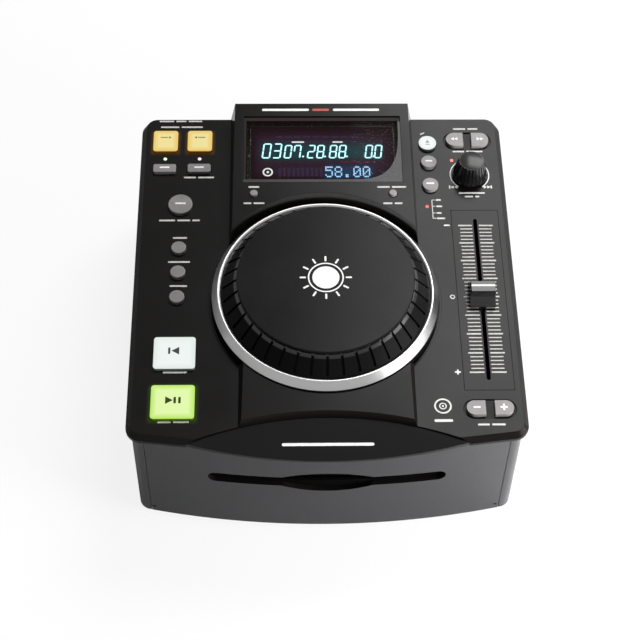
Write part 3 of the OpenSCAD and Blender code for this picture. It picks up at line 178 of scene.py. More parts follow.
class DiscPlayerLooks(bpy.types.PropertyGroup):
    """Sizes and colours of the player's finishes."""

    edge: FloatProperty(
        name="Moulded edge", description="Radius of a moulded edge", default=0.3 * MM, min=0.0, unit="LENGTH"
    )
    key_edge: FloatProperty(
        name="Key edge", description="Radius of a key cap's edge", default=0.55 * MM, min=0.0, unit="LENGTH"
    )
    scale_marks: IntProperty(
        name="Scale marks", description="Marks down each side of the fader", default=41, min=3
    )
    glow: FloatProperty(name="Key glow", description="Strength of the lit keys", default=1.0, min=0.0)
    case_colour: FloatVectorProperty(
        name="Case", description="Colour of the moulded case", default=linear("#0e0c0b")[:3], subtype="COLOR"
    )
    front_colour: FloatVectorProperty(
        name="Front", description="Colour of the painted front and sides", default=linear("#2f2f31")[:3],
        subtype="COLOR",
    )
    key_colour: FloatVectorProperty(
        name="Keys", description="Colour of the plain keys", default=linear("#7e7a7a")[:3], subtype="COLOR"
    )


# ---- Nodes and finishes ----


def fed(node, inputs):
    """Sets a node's inputs, each to a value, or from a socket or another node's first output."""
    for name, value in inputs.items():
        if isinstance(value, (bpy.types.Node, bpy.types.NodeSocket)):
            node.id_data.links.new(getattr(value, "outputs", [value])[0], node.inputs[name])
        else:
            node.inputs[name].default_value = value
    return node


def add_node(tree, kind, inputs=None, **settings):
    """A shader node with its settings, and its inputs as values and links."""
    node = tree.nodes.new("ShaderNode" + kind)
    for name, value in settings.items():
        setattr(node, name, value)
    return fed(node, inputs or {})


def start_finish(name, colour, roughness, specular=0.5, **sockets):
    """A material with one Principled shader, and the tree, the shader and the object's own coordinates."""
    finish = bpy.data.materials.new(name)
    finish.use_nodes = True
    tree = finish.node_tree
    tree.nodes.clear()
    values = {"Base Color": shade(colour, 1.0), "Roughness": roughness, "Specular IOR Level": specular, **sockets}
    shader = add_node(tree, "BsdfPrincipled", values)
    add_node(tree, "OutputMaterial", {"Surface": shader})
    return finish, tree, shader, add_node(tree, "TexCoord").outputs["Object"]


def grain(tree, shader, place, size, depth, detail=3.0):
    """Bump of an even grain, with its size and depth in millimetres."""
    noise = add_node(tree, "TexNoise", {"Scale": 1 / (size * MM), "Detail": detail, "Vector": place})
    fed(shader, {"Normal": add_node(tree, "Bump", {"Distance": depth * MM, "Strength": 1.0, "Height": noise})})
    return noise


def handling(tree, shader, place, low, high, size=35.0):
    """Roughness that drifts between two values, as touched plastic and paint have it."""
    scale = 1 / (size * MM)
    noise = add_node(tree, "TexNoise", {"Scale": scale, "Detail": 5.0, "Roughness": 0.6, "Vector": place})
    drift = {"From Min": 0.3, "From Max": 0.7, "To Min": low, "To Max": high, "Value": noise}
    fed(shader, {"Roughness": add_node(tree, "MapRange", drift)})


def two_tones(tree, shader, factor, colour, dark, light, low=0.0, high=1.0, socket="Base Color"):
    """Two shades of a colour, from dark to light as a pattern goes from low to high."""
    ramp = add_node(tree, "ValToRGB", {"Fac": factor})
    first, last = ramp.color_ramp.elements
    first.position, first.color = low, shade(colour, dark)
    last.position, last.color = high, shade(colour, light)
    fed(shader, {socket: ramp})


def past_box(tree, place, middle, half):
    """How far a point lies past the sides of a box along x and y, which is below nought inside it."""
    moved = add_node(tree, "VectorMath", {0: place, 1: middle}, operation="SUBTRACT")
    either = add_node(tree, "VectorMath", {0: moved}, operation="ABSOLUTE")
    past = add_node(tree, "VectorMath", {0: either, 1: half}, operation="SUBTRACT")
    ways = add_node(tree, "SeparateXYZ", {"Vector": past})
    return ways.outputs["X"], ways.outputs["Y"]


def laid_near(tree, place, under, colour, middle, half, soft):
    """A colour laid softly over another one in and near a box seen from above, with its sizes in millimetres."""
    past = past_box(tree, place, [c * MM for c in (*middle, 0.0)], [c * MM for c in (*half, 0.0)])
    border = {"From Min": soft * MM, "From Max": -0.5 * soft * MM}
    near = [add_node(tree, "MapRange", {**border, "Value": way}, interpolation_type="SMOOTHSTEP") for way in past]
    both = add_node(tree, "Math", {0: near[0], 1: near[1]}, operation="MULTIPLY")
    mix = add_node(tree, "Mix", {"Factor": both, "A": under, "B": colour}, data_type="RGBA")
    return mix.outputs["Result"]


def abs_spark_eroded(name, colour, specular=0.09, painted_key_glows=(), worn=()):
    """Moulded ABS from a spark-eroded tool: an even, fine, satin grain, with a painted glow near the keys named, which
    stands in for the light that spills from them.

    Worn gives the heights in millimetres between which fingers have polished an edge.
    """
    finish, tree, shader, place = start_finish(name, colour, 0.22, specular)
    # The real grain is about 0.15 mm, and is drawn at 0.9 mm so that it shows
    noise = grain(tree, shader, place, 0.9, 0.003)
    handling(tree, shader, place, 0.19, 0.25)
    two_tones(tree, shader, noise, colour, 0.8, 1.25, 0.3, 0.7)
    if worn:
        height = add_node(tree, "SeparateXYZ", {"Vector": place}).outputs["Z"]
        rise = {"From Min": worn[0] * MM, "From Max": worn[1] * MM, "To Min": specular, "To Max": 0.4, "Value": height}
        fed(shader, {"Specular IOR Level": add_node(tree, "MapRange", rise)})
    # Painted glow: a colour laid as emission on the moulding round each key named, with its reach in millimetres
    light = linear("#000000")
    for node, tone, reach in painted_key_glows:
        low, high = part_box(node)
        middle, half = (low + high) / 2 / MM, (high - low) / 2 / MM
        light = laid_near(tree, place, light, linear(tone), middle[:2], [h - KEY_FLANGE for h in half[:2]], reach)
    if painted_key_glows:
        fed(shader, {"Emission Color": light, "Emission Strength": 1.0})
    return finish


def abs_polished(name, colour):
    """Moulded ABS from a polished tool: smooth, with a soft gloss and faint flow waves."""
    finish, tree, shader, place = start_finish(name, colour, 0.2, 0.12)
    grain(tree, shader, place, 14.0, 0.012, 1.0)
    return finish


def steel_powder_coated(name, colour):
    """Sheet steel with a satin powder coat: the orange peel of the cured powder, and a faint fleck."""
    finish, tree, shader, place = start_finish(name, colour, 0.4, 0.25)
    # Orange peel is about 1.2 mm from crest to crest
    grain(tree, shader, place, 1.2, 0.01)
    handling(tree, shader, place, 0.34, 0.42, 50.0)
    fleck = add_node(tree, "TexNoise", {"Scale": 1 / (0.7 * MM), "Detail": 2.0, "Vector": place})
    two_tones(tree, shader, fleck, colour, 0.86, 1.16, 0.35, 0.65)
    return finish


def metal_turned(name, colour, roughness, x, y, pitch, depth):
    """Metal faced on a lathe: fine rings round its upright axis, with their pitch in millimetres."""
    finish, tree, shader, place = start_finish(name, colour, roughness, Metallic=1.0)
    moved = add_node(tree, "Mapping", {"Location": (-x * MM, -y * MM, 0.0), "Vector": place})
    flat = add_node(tree, "VectorMath", {0: moved, 1: (1.0, 1.0, 0.0)}, operation="MULTIPLY")
    radius = add_node(tree, "VectorMath", {0: flat}, operation="LENGTH").outputs["Value"]
    turns = add_node(tree, "Math", {0: radius, 1: math.tau / (pitch * MM)}, operation="MULTIPLY")
    wave = add_node(tree, "Math", {0: turns}, operation="SINE")
    fed(shader, {"Normal": add_node(tree, "Bump", {"Distance": depth * MM, "Strength": 1.0, "Height": wave})})
    handling(tree, shader, place, roughness - 0.04, roughness + 0.05, 12.0)
    return finish


def steel_plated(name, colour, roughness=0.32, grain_size=2.5):
    """Rolled steel with a zinc or tin plate: a soft, slightly cloudy metal."""
    finish, tree, shader, place = start_finish(name, colour, roughness, Metallic=1.0)
    noise = grain(tree, shader, place, grain_size, 0.008)
    handling(tree, shader, place, roughness - 0.06, roughness + 0.1, 9.0)
    two_tones(tree, shader, noise, colour, 0.82, 1.08, 0.35, 0.65)
    return finish


def board_fr4(name, mask):
    """Printed circuit board: solder mask over copper tracks 0.6 mm wide, with tinned pads."""
    finish, tree, shader, place = start_finish(name, mask, 0.35)
    rows = {
        "Scale": 1 / (6.0 * MM), "Mortar Size": 0.07, "Mortar Smooth": 0.1, "Brick Width": 1.0, "Row Height": 0.45,
        "Color1": linear(mask), "Color2": linear("#14402c"), "Mortar": linear("#2f7a4d"), "Vector": place,
    }
    tracks = add_node(tree, "TexBrick", rows, offset=0.5)
    pads = add_node(tree, "TexVoronoi", {"Scale": 1 / (4.5 * MM), "Randomness": 0.7, "Vector": place})
    tinned = add_node(tree, "Math", {0: pads, 1: 0.16}, operation="LESS_THAN")
    mix = add_node(tree, "Mix", {"Factor": tinned, "A": tracks, "B": linear("#c9c7bd")}, data_type="RGBA")
    fed(shader, {"Base Color": mix.outputs["Result"], "Metallic": tinned})
    return finish


def rubber_moulded(name, colour):
    """Moulded rubber: dull, with a fine dusty grain."""
    finish, tree, shader, place = start_finish(name, colour, 0.85, 0.25)
    two_tones(tree, shader, grain(tree, shader, place, 0.8, 0.02), colour, 1.0, 2.2, 0.4, 0.8)
    return finish


def felt_needled(name, colour):
    """Needled felt: a soft pile that takes nearly all the light."""
    finish, tree, shader, place = start_finish(name, colour, 0.95, 0.0)
    two_tones(tree, shader, grain(tree, shader, place, 0.5, 0.08, 6.0), colour, 1.0, 2.0, 0.4, 0.8)
    return finish


def key_satin(name, colour):
    """Moulded key with a satin lacquer: smooth, slightly pearly, with worn middles."""
    finish, tree, shader, place = start_finish(name, colour, 0.36, 0.25)
    grain(tree, shader, place, 0.7, 0.004)
    handling(tree, shader, place, 0.28, 0.4, 6.0)
    wear = add_node(tree, "TexNoise", {"Scale": 1 / (5.0 * MM), "Detail": 4.0, "Vector": place})
    two_tones(tree, shader, wear, colour, 0.92, 1.08, 0.35, 0.65)
    return finish


def key_lit(name, tones, low, high, glow):
    """Milky polycarbonate over a lamp: palest in the middle, deeper at the rim, deepest down the sides."""
    finish, tree, shader, place = start_finish(name, shade(tones[1], 0.12), 0.38, 0.2)
    past = past_box(tree, place, (low + high) / 2, (high - low) / 2 - Vector((KEY_FLANGE, KEY_FLANGE, 0)) * MM)
    rim = add_node(tree, "Math", {0: past[0], 1: past[1]}, operation="MAXIMUM")
    near = add_node(tree, "MapRange", {"From Min": -4.2 * MM, "From Max": 0.0, "To Max": 0.6, "Value": rim})
    height = add_node(tree, "SeparateXYZ", {"Vector": place}).outputs["Z"]
    side = {"From Min": high.z - 0.12 * MM, "From Max": high.z - 0.6 * MM, "Value": height}
    most = add_node(tree, "Math", {0: near, 1: add_node(tree, "MapRange", side)}, operation="MAXIMUM")
    ramp = add_node(tree, "ValToRGB", {"Fac": most})
    stops = ramp.color_ramp.elements
    stops[0].position, stops[0].color = 0.1, linear(tones[0])
    stops[1].position, stops[1].color = 1.0, linear(tones[2])
    stops.new(0.6).color = linear(tones[1])
    fed(shader, {"Emission Color": ramp, "Emission Strength": glow})
    return finish


def lamp(name, colour, strength):
    """A lit lens, dot or phosphor segment, or a painted glow, a little uneven in its glow."""
    finish, tree, shader, place = start_finish(name, shade(colour, 0.3), 0.5, 0.0)
    spots = add_node(tree, "TexNoise", {"Scale": 1 / (1.2 * MM), "Detail": 1.0, "Vector": place})
    two_tones(tree, shader, spots, colour, 0.8, 1.0, socket="Emission Color")
    fed(shader, {"Emission Strength": strength})
    return finish


def ink(name, colour, specular=0.3):
    """Pad-printed ink: flat and a little dusty."""
    finish, tree, shader, place = start_finish(name, colour, 0.5, specular)
    noise = add_node(tree, "TexNoise", {"Scale": 1 / (1.5 * MM), "Detail": 4.0, "Vector": place})
    two_tones(tree, shader, noise, colour, 0.8, 1.0, 0.3, 0.6)
    return finish


def acrylic_tinted(name, colour):
    """Cast acrylic, smoked and coated against glare: clear and dark, so only what is lit shows through it."""
    # Each face lets three fifths of the light straight through, and the coat takes most of the reflection away
    finish, tree, shader, place = start_finish(name, colour, 0.06, 0.015, Alpha=0.4)
    grain(tree, shader, place, 30.0, 0.004, 1.0)
    return finish


def tube_face(name):
    """Face of a display tube: a fine control grid over dark glass that is given a faint painted glow, with painted
    violet and blue glows round the lit rows.
    """
    finish, tree, shader, place = start_finish(name, "#0d090c", 0.5, 0.0)
    grid = {
        "Scale": 1 / (1.6 * MM), "Mortar Size": 0.08, "Brick Width": 0.5, "Row Height": 0.5,
        "Color1": linear("#6a6a6a"), "Color2": linear("#8a8a8a"), "Mortar": linear("#ffffff"), "Vector": place,
    }
    mesh = add_node(tree, "TexBrick", grid, offset=0.5)
    tone = linear("#1c0f14")
    # Painted glows round the lit rows: middle and half size in millimetres, softness, and colour
    painted_glows = (
        ((0.0, 84.0), (38.0, 14.0), 7.0, "#4a3146"), ((-1.0, 86.4), (34.0, 4.0), 7.0, "#2f6870"),
        ((15.6, 70.8), (13.0, 3.4), 5.0, "#2f5f8a"),
    )
    for middle, half, soft, colour in painted_glows:
        tone = laid_near(tree, place, tone, linear(colour), middle, half, soft)
    inputs = {"Factor": 0.6, "A": tone, "B": mesh}
    ruled = add_node(tree, "Mix", inputs, data_type="RGBA", blend_type="MULTIPLY").outputs["Result"]
    # The whole face glows, a painted glow, though the glass is no lamp
    fed(shader, {"Emission Color": ruled, "Emission Strength": 1.1})
    return finish


# ---- Modelling ----


def only(piece):
    """Makes a piece the one selected and active object."""
    if bpy.context.mode != "OBJECT":
        bpy.ops.object.mode_set(mode="OBJECT")
    bpy.ops.object.select_all(action="DESELECT")
    piece.select_set(True)
    bpy.context.view_layer.objects.active = piece


def edit(piece, mode="FACE", faces=None, edges=None, verts=None):
    """Opens a piece in edit mode, with the faces, edges or vertices that pass a test selected."""
    only(piece)
    bpy.ops.object.mode_set(mode="EDIT")
    bpy.ops.mesh.select_mode(type=mode)
    bpy.ops.mesh.select_all(action="DESELECT")
    bpy.ops.object.mode_set(mode="OBJECT")
    mesh = piece.data
    if faces:
        for face in mesh.polygons:
            face.select = faces(face.center)
    if edges:
        for side in mesh.edges:
            first, second = (mesh.vertices[i].co for i in side.vertices)
            side.select = edges((first + second) / 2, (second - first).normalized())
    if verts:
        for vertex in mesh.vertices:
            vertex.select = verts(vertex.co)
    bpy.ops.object.mode_set(mode="EDIT")


def close_edit():
    """Turns the faces outwards and leaves edit mode."""
    bpy.ops.mesh.select_all(action="SELECT")
    bpy.ops.mesh.normals_make_consistent(inside=False)
    bpy.ops.object.mode_set(mode="OBJECT")


def bevelled(piece, width, segments=2):
    """Rounds a piece's sharp edges and smooths what runs on."""
    only(piece)
    bevel = piece.modifiers.new("Rounded edges", "BEVEL")
    bevel.width, bevel.segments, bevel.limit_method, bevel.angle_limit = width, segments, "ANGLE", math.radians(30)
    bevel.use_clamp_overlap = True
    bpy.ops.object.modifier_apply(modifier=bevel.name)
    bpy.ops.object.shade_smooth_by_angle(angle=math.radians(50))
    weighted = piece.modifiers.new("Flat faces", "WEIGHTED_NORMAL")
    weighted.keep_sharp = True
    bpy.ops.object.modifier_apply(modifier=weighted.name)


def settled(piece, matrix):
    """Puts a piece where it belongs, with its place in its mesh."""
    piece.matrix_world = matrix
    only(piece)
    bpy.ops.object.transform_apply(location=True, rotation=True, scale=True)
    return piece


def copied(piece, matrix):
    """A copy of a piece with a mesh of its own, moved by a matrix."""
    other = piece.copy()
    other.data = piece.data.copy()
    bpy.context.scene.collection.objects.link(other)
    return settled(other, matrix)


def dropped(piece):
    """Takes a pattern piece away once its copies are made."""
    bpy.data.objects.remove(piece, do_unlink=True)


def done(piece, finish, body, replaces=()):
    """Gives a piece its finish, its body and the solids that it stands for."""
    piece.data.materials.clear()
    piece.data.materials.append(finish)
    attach(piece, body)
    if replaces:
        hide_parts(*replaces)
    return piece


def joined(name, pieces, finish, body="case"):
    """One piece from several, with its finish and its body."""
    only(pieces[0])
    for piece in pieces[1:]:
        piece.select_set(True)
    if len(pieces) > 1:
        bpy.ops.object.join()
    pieces[0].name = pieces[0].data.name = name
    done(pieces[0], finish, body)


def painted(node, finish):
    """Gives a solid its finish as it stands."""
    piece = frame["nodes"][node]
    piece.data.materials.clear()
    piece.data.materials.append(finish)


def dressed(node, finish, edge, segments=2):
    """A merged copy of a solid with rounded edges, which stands for it."""
    only(frame["nodes"][node])
    bpy.ops.object.duplicate()
    piece = bpy.context.view_layer.objects.active
    for key in list(piece.keys()):
        del piece[key]
    bpy.ops.object.parent_clear(type="CLEAR_KEEP_TRANSFORM")
    piece.name = piece.data.name = node + "_rounded"
    bpy.ops.mesh.customdata_custom_splitnormals_clear()
    bpy.ops.object.mode_set(mode="EDIT")
    bpy.ops.mesh.select_all(action="SELECT")
    bpy.ops.mesh.remove_doubles(threshold=0.002 * MM)
    bpy.ops.mesh.dissolve_limited(angle_limit=math.radians(0.3))
    bpy.ops.object.mode_set(mode="OBJECT")
    bevelled(piece, edge, segments)
    return done(piece, finish, BODY_OF[node], (node,))


def on_plane(x, y, plane, turn=0.0, lift=0.0):
    """The place of a point on a printed plane, in millimetres, with its turn in degrees."""
    line_y, line_z, slope = plane
    slope = math.radians(slope)
    spot = Vector((x, y, line_z + (y - line_y) * math.tan(slope) + lift)) * MM
    return Matrix.Translation(spot) @ Matrix.Rotation(slope, 4, "X") @ Matrix.Rotation(math.radians(turn), 4, "Z")


def bar(x, y, width, depth, plane, turn=0.0, height=PRINT, ends=0.45):
    """A thin raised bar with rounded ends, from a cube."""
    bpy.ops.mesh.primitive_cube_add(size=1)
    piece = bpy.context.active_object
    piece.scale = (width * MM, depth * MM, 2 * height * MM)
    bpy.ops.object.transform_apply(location=False, rotation=False, scale=True)
    edit(piece, "EDGE", edges=lambda middle, way: abs(way.z) > 0.9)
    bpy.ops.mesh.bevel(offset=min(width, depth) * ends * MM, segments=3, affect="EDGES")
    close_edit()
    return settled(piece, on_plane(x, y, plane, turn))


def disc(x, y, radius, plane, corners=48, turn=0.0, height=PRINT):
    """A thin raised disc with a bevelled rim."""
    bpy.ops.mesh.primitive_cylinder_add(vertices=corners, radius=radius * MM, depth=2 * height * MM)
    piece = bpy.context.active_object
    edit(piece, "EDGE", edges=lambda middle, way: abs(way.z) < 0.5 and middle.z > 0)
    bpy.ops.mesh.bevel(offset=height * 0.5 * MM, segments=1, affect="EDGES")
    close_edit()
    return settled(piece, on_plane(x, y, plane, turn))


def triangle(x, y, size, plane, turn):
    """A printed arrowhead that points to the right at no turn, a disc with three corners."""
    return disc(x, y, size, plane, corners=3, turn=turn - 90)


def ring(x, y, outer, inner, plane, keep=None, height=PRINT, corners=96):
    """A thin raised ring, from a circle that is inset and extruded, or the arcs of it that pass a test."""
    bpy.ops.mesh.primitive_circle_add(vertices=corners, radius=outer * MM, fill_type="NGON")
    piece = bpy.context.active_object
    edit(piece, faces=lambda centre: True)
    bpy.ops.mesh.inset(thickness=(outer - inner) * MM)
    bpy.ops.mesh.delete(type="FACE")
    bpy.ops.object.mode_set(mode="OBJECT")
    if keep:
        edit(piece, faces=lambda centre: not keep(math.degrees(math.atan2(centre.y, centre.x)) % 360))
        bpy.ops.mesh.delete(type="FACE")
        bpy.ops.object.mode_set(mode="OBJECT")
    edit(piece, faces=lambda centre: True)
    bpy.ops.mesh.extrude_region_move(TRANSFORM_OT_translate={"value": (0, 0, height * MM)})
    close_edit()
    return settled(piece, on_plane(x, y, plane))


def key_plane(node):
    """The middle of a key, and its flat top as a plane for printing."""
    low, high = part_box(node)
    return (low.x + high.x) / 2 / MM, (low.y + high.y) / 2 / MM, (0.0, high.z / MM, 0.0)


def lathe(name, outline, x=0.0, y=0.0, steps=96, smooth=None):
    """A turned piece: the outline's points are joined by extruding, then spun round an upright axis.

    Smooth gives the angle in degrees up to which its faces are shaded as one.
    """
    bpy.ops.mesh.primitive_plane_add(size=1 * MM)
    piece = bpy.context.active_object
    edit(piece, "VERT", verts=lambda co: True)
    bpy.ops.mesh.merge(type="CENTER")
    bpy.ops.transform.translate(value=(outline[0][0] * MM, 0, outline[0][1] * MM))
    for first, second in zip(outline, outline[1:]):
        step = ((second[0] - first[0]) * MM, 0, (second[1] - first[1]) * MM)
        bpy.ops.mesh.extrude_region_move(TRANSFORM_OT_translate={"value": step})
    bpy.ops.mesh.select_all(action="SELECT")
    bpy.ops.mesh.spin(steps=steps, angle=math.tau, center=(0, 0, 0), axis=(0, 0, 1))
    bpy.ops.mesh.select_all(action="SELECT")
    bpy.ops.mesh.remove_doubles(threshold=0.0005 * MM)
    close_edit()
    piece.name = piece.data.name = name
    settled(piece, Matrix.Translation(Vector((x, y, 0)) * MM))
    if smooth:
        bpy.ops.object.shade_smooth_by_angle(angle=math.radians(smooth))
    return piece


# ---- Pieces ----


class DISCPLAYER_OT_case(bpy.types.Operator):
    """Dress the case: cover, display housing, fascia, panels, feet and screws"""

    bl_idname = "discplayer.case"
    bl_label = "Case"

    def execute(self, context):
        looks = context.scene.disc_player_looks
        # Painted glow on the cover round the loop and play keys: each key, the colour of its glow, and its reach in
        # millimetres
        painted_key_glows = (("loop_key_1", "#5c3a08", 2.6), ("loop_key_2", "#5c3a08", 2.6), ("play_key", "#2c4a06", 3.0))
        cover = abs_spark_eroded("ABS spark-eroded, cover", looks.case_colour, painted_key_glows=painted_key_glows)
        dressed("top_cover", cover, looks.edge)
        housing = abs_spark_eroded("ABS spark-eroded, housing", looks.case_colour)
        self.polished_well(dressed("display_housing", housing, looks.edge))
        dressed("front_fascia", abs_polished("ABS polished, fascia", "#0b0a0a"), looks.edge)
        coat = steel_powder_coated("Steel powder-coated, front", looks.front_colour)
        self.painted_slot_shade(dressed("front_panel", coat, looks.edge))
        dressed("side_panels", coat, looks.edge)
        plain = steel_powder_coated("Steel powder-coated, rear", "#2f2f31")
        dressed("rear_panel", plain, looks.edge * 0.5)
        dressed("bottom_plate", plain, looks.edge * 0.5)
        dressed("feet", rubber_moulded("Rubber moulded, feet", "#161616"), 0.4 * MM)
        dressed("case_screws", steel_plated("Steel zinc-plated, screws", "#8f8f8c"), 0.15 * MM)
        painted("slot_felt", felt_needled("Felt needled, slot", "#080808"))
        self.corner_pins()
        # A thin ring just under the panel closes most of the gap round the wheel
        outline = ((65.2, 83.4), (66.55, 83.4), (66.55, 84.44), (65.4, 84.44), (65.2, 84.2), (65.2, 83.4))
        done(lathe("well_dust_lip", outline, 0, JOG_Y, 192, 30), cover, "case")
        return {"FINISHED"}

    def polished_well(self, housing):
        """Gives the hollow wall behind the wheel a gloss, in which the wheel's ring is mirrored."""
        housing.data.materials.append(abs_spark_eroded("ABS polished, well", "#161412", 0.3))
        for face in housing.data.polygons:
            x, y, z = face.center / MM
            if math.hypot(x, y - JOG_Y) < WELL_R and abs(face.normal.z) < 0.9 and z > WELL_Z:
                face.material_index = 1

    def painted_slot_shade(self, panel):
        """Paints the walls of the disc slot and of the finger relief near-black, behind the panel's curved face:
        painted shade in the recess, where the panel's own coat would catch the light.
        """
        panel.data.materials.append(abs_spark_eroded("Painted shade, slot walls", "#12100f", 0.01))
        for face in panel.data.polygons:
            x, y, z = face.center / MM
            behind = y - (FRONT_Y + x * x / (2 * FRONT_R) + (z - FRONT_Z) * math.tan(math.radians(FRONT_LEAN)))
            if abs(x) < SLOT_HALF and SLOT_LOW < z < SLOT_HIGH and (behind > 0.35 or face.normal.y > -0.9):
                face.material_index = 1

    def corner_pins(self):
        """Two small push pins that hold the front panel low at its corners, square to its curve."""
        pins = []
        for x, y, turn in ((-98.6, -108.85, -11.5), (98.4, -108.85, 11.5)):
            pin = lathe("pin", ((0.0, 0.0), (0.9, 0.0), (0.9, 0.25), (0.55, 0.45), (0.0, 0.45)), steps=24)
            spot = Matrix.Translation(Vector((x, y, 9.0)) * MM) @ Matrix.Rotation(math.radians(turn), 4, "Z")
            pins.append(settled(pin, spot @ Matrix.Rotation(math.radians(90), 4, "X")))
        joined("front_panel_pins", pins, rubber_moulded("Nylon moulded, pins", "#0c0c0c"))


class DISCPLAYER_OT_display(bpy.types.Operator):
    """Model the display: tinted window, bezel, tube face and unlit segments with a painted glow, and lit figures"""

    bl_idname = "discplayer.display"
    bl_label = "Display"

    def execute(self, context):
        painted("display_window", acrylic_tinted("Acrylic cast, smoked", "#1d1413"))
        painted("display_bezel", abs_spark_eroded("ABS spark-eroded, grey bezel", "#3c3a3a", 0.12))
        painted("display_module", board_fr4("FR4 display board", "#12261c"))
        # A brown-black strip over the window's edges: painted shade, where the edge of the recess falls dark
        border = [bar(0.0, y, 94.4, 2.6, WINDOW, height=0.05, ends=0.02) for y in (61.7, 107.7)]
        border += [bar(x, 84.7, 1.4, 43.6, WINDOW, height=0.05, ends=0.02) for x in (-46.5, 46.5)]
        joined("display_window_border", border, ink("Painted shade, window edges", "#1b1311", 0.1))
        face = bar(0.0, 84.6, 86.0, 40.4, TUBE, height=0.05, ends=0.02)
        joined("display_tube_face", [face], tube_face("Glass of the display tube, painted glow"))
        self.upper_row()
        self.lower_row()
        return {"FINISHED"}

    def segment(self, length, width):
        """One upright six-cornered segment, from a circle."""
        bpy.ops.mesh.primitive_circle_add(vertices=6, radius=width / 2 * MM, fill_type="NGON")
        piece = bpy.context.active_object
        for side in (1, -1):
            edit(piece, "VERT", verts=lambda co: co.y * side > 0)
            bpy.ops.transform.translate(value=(0, side * (length - width) / 2 * MM, 0))
            bpy.ops.object.mode_set(mode="OBJECT")
        edit(piece, faces=lambda centre: True)
        bpy.ops.mesh.extrude_region_move(TRANSFORM_OT_translate={"value": (0, 0, PRINT * MM)})
        close_edit()
        return piece

    def figure(self, text, x, y, width, height, upright, flat):
        """The lit segments of one figure, leaning a little to the right."""
        half_w, half_h = width / 2, height / 2
        places = {
            "a": (0, half_h, 90), "b": (half_w, half_h / 2, 0), "c": (half_w, -half_h / 2, 0), "d": (0, -half_h, 90),
            "e": (-half_w, -half_h / 2, 0), "f": (-half_w, half_h / 2, 0), "g": (0, 0, 90),
        }
        made = []
        for name in FIGURES[text]:
            dx, dy, turn = places[name]
            pattern, turn = (flat, turn) if turn else (upright, -LEAN)
            spot = on_plane(x + dx + dy * math.tan(math.radians(LEAN)), y + dy, TUBE, turn, 0.05)
            made.append(copied(pattern, spot))
        return made

    def upper_row(self):
        """Lit figures with dots between them, and the plain white signs."""
        lit = []
        for text, x, pitch, width, height in GROUPS:
            upright = self.segment(height / 2 - 0.35, 1.0)
            flat = self.segment(width - 0.35, 1.0)
            base = 86.6 - (10.4 - height) / 2
            for place, character in enumerate(text):
                lit += self.figure(character, x + place * pitch, base, width, height, upright, flat)
            dropped(upright)
            dropped(flat)
        lit += [bar(x, 82.4, 1.1, 1.1, TUBE, height=0.09, ends=0.3) for x in (-11.6, 1.6, 14.8, 31.0)]
        joined("display_figures", lit, lamp("Phosphor, blue-green", "#b8f4fb", 4.6))
        white = [bar(x, 93.2, w, 1.0, TUBE, height=0.09) for x, w in ((-14.6, 7.6), (9.4, 6.2))]
        white.append(ring(-32.8, 70.8, 3.1, 2.2, TUBE, height=0.09, corners=32))
        white.append(disc(-32.8, 70.8, 0.8, TUBE, corners=16, height=0.09))
        joined("display_signs", white, lamp("Phosphor, white", "#e6ecea", 3.0))

    def lower_row(self):
        """Dot figures, the unlit segments with a faint painted glow of their own, and the red marks between the rows.
        """
        pattern = bar(0, 0, 0.78, 0.95, (0.0, 0.0, 0.0), ends=0.2, height=0.09)
        lit = []
        for place, character in enumerate("58.00"):
            for row, dots in enumerate(DOT_FIGURES[character]):
                for column, dot in enumerate(dots):
                    if dot == "1":
                        spot = on_plane(2.0 + place * 5.6 + column * 0.92, 74.4 - row * 1.16, TUBE)
                        lit.append(copied(pattern, spot))
        dark = [bar(-25.6 + place * 2.75, 70.8, 1.9, 6.6, TUBE, ends=0.15, height=0.06) for place in range(10)]
        for y in (93.4, 97.2):
            dark += [bar(-26 + place * 5.6, y, 4.4, 1.6, TUBE, ends=0.3, height=0.06) for place in range(9)]
        dropped(pattern)
        joined("display_dots", lit, lamp("Phosphor, light blue", "#a2d6fb", 3.6))
        # The unlit segments get a faint glow, painted light that stands in for the light they reflect
        joined("display_dark_segments", dark, lamp("Phosphor, unlit, painted glow", "#4e3f63", 1.0))
        red = [bar(x, 78.2, 5.2, 0.8, TUBE, height=0.07) for x in (13.5, 20.0, 26.5)]
        joined("display_red_marks", red, lamp("Phosphor, dim red", "#8a2048", 1.2))


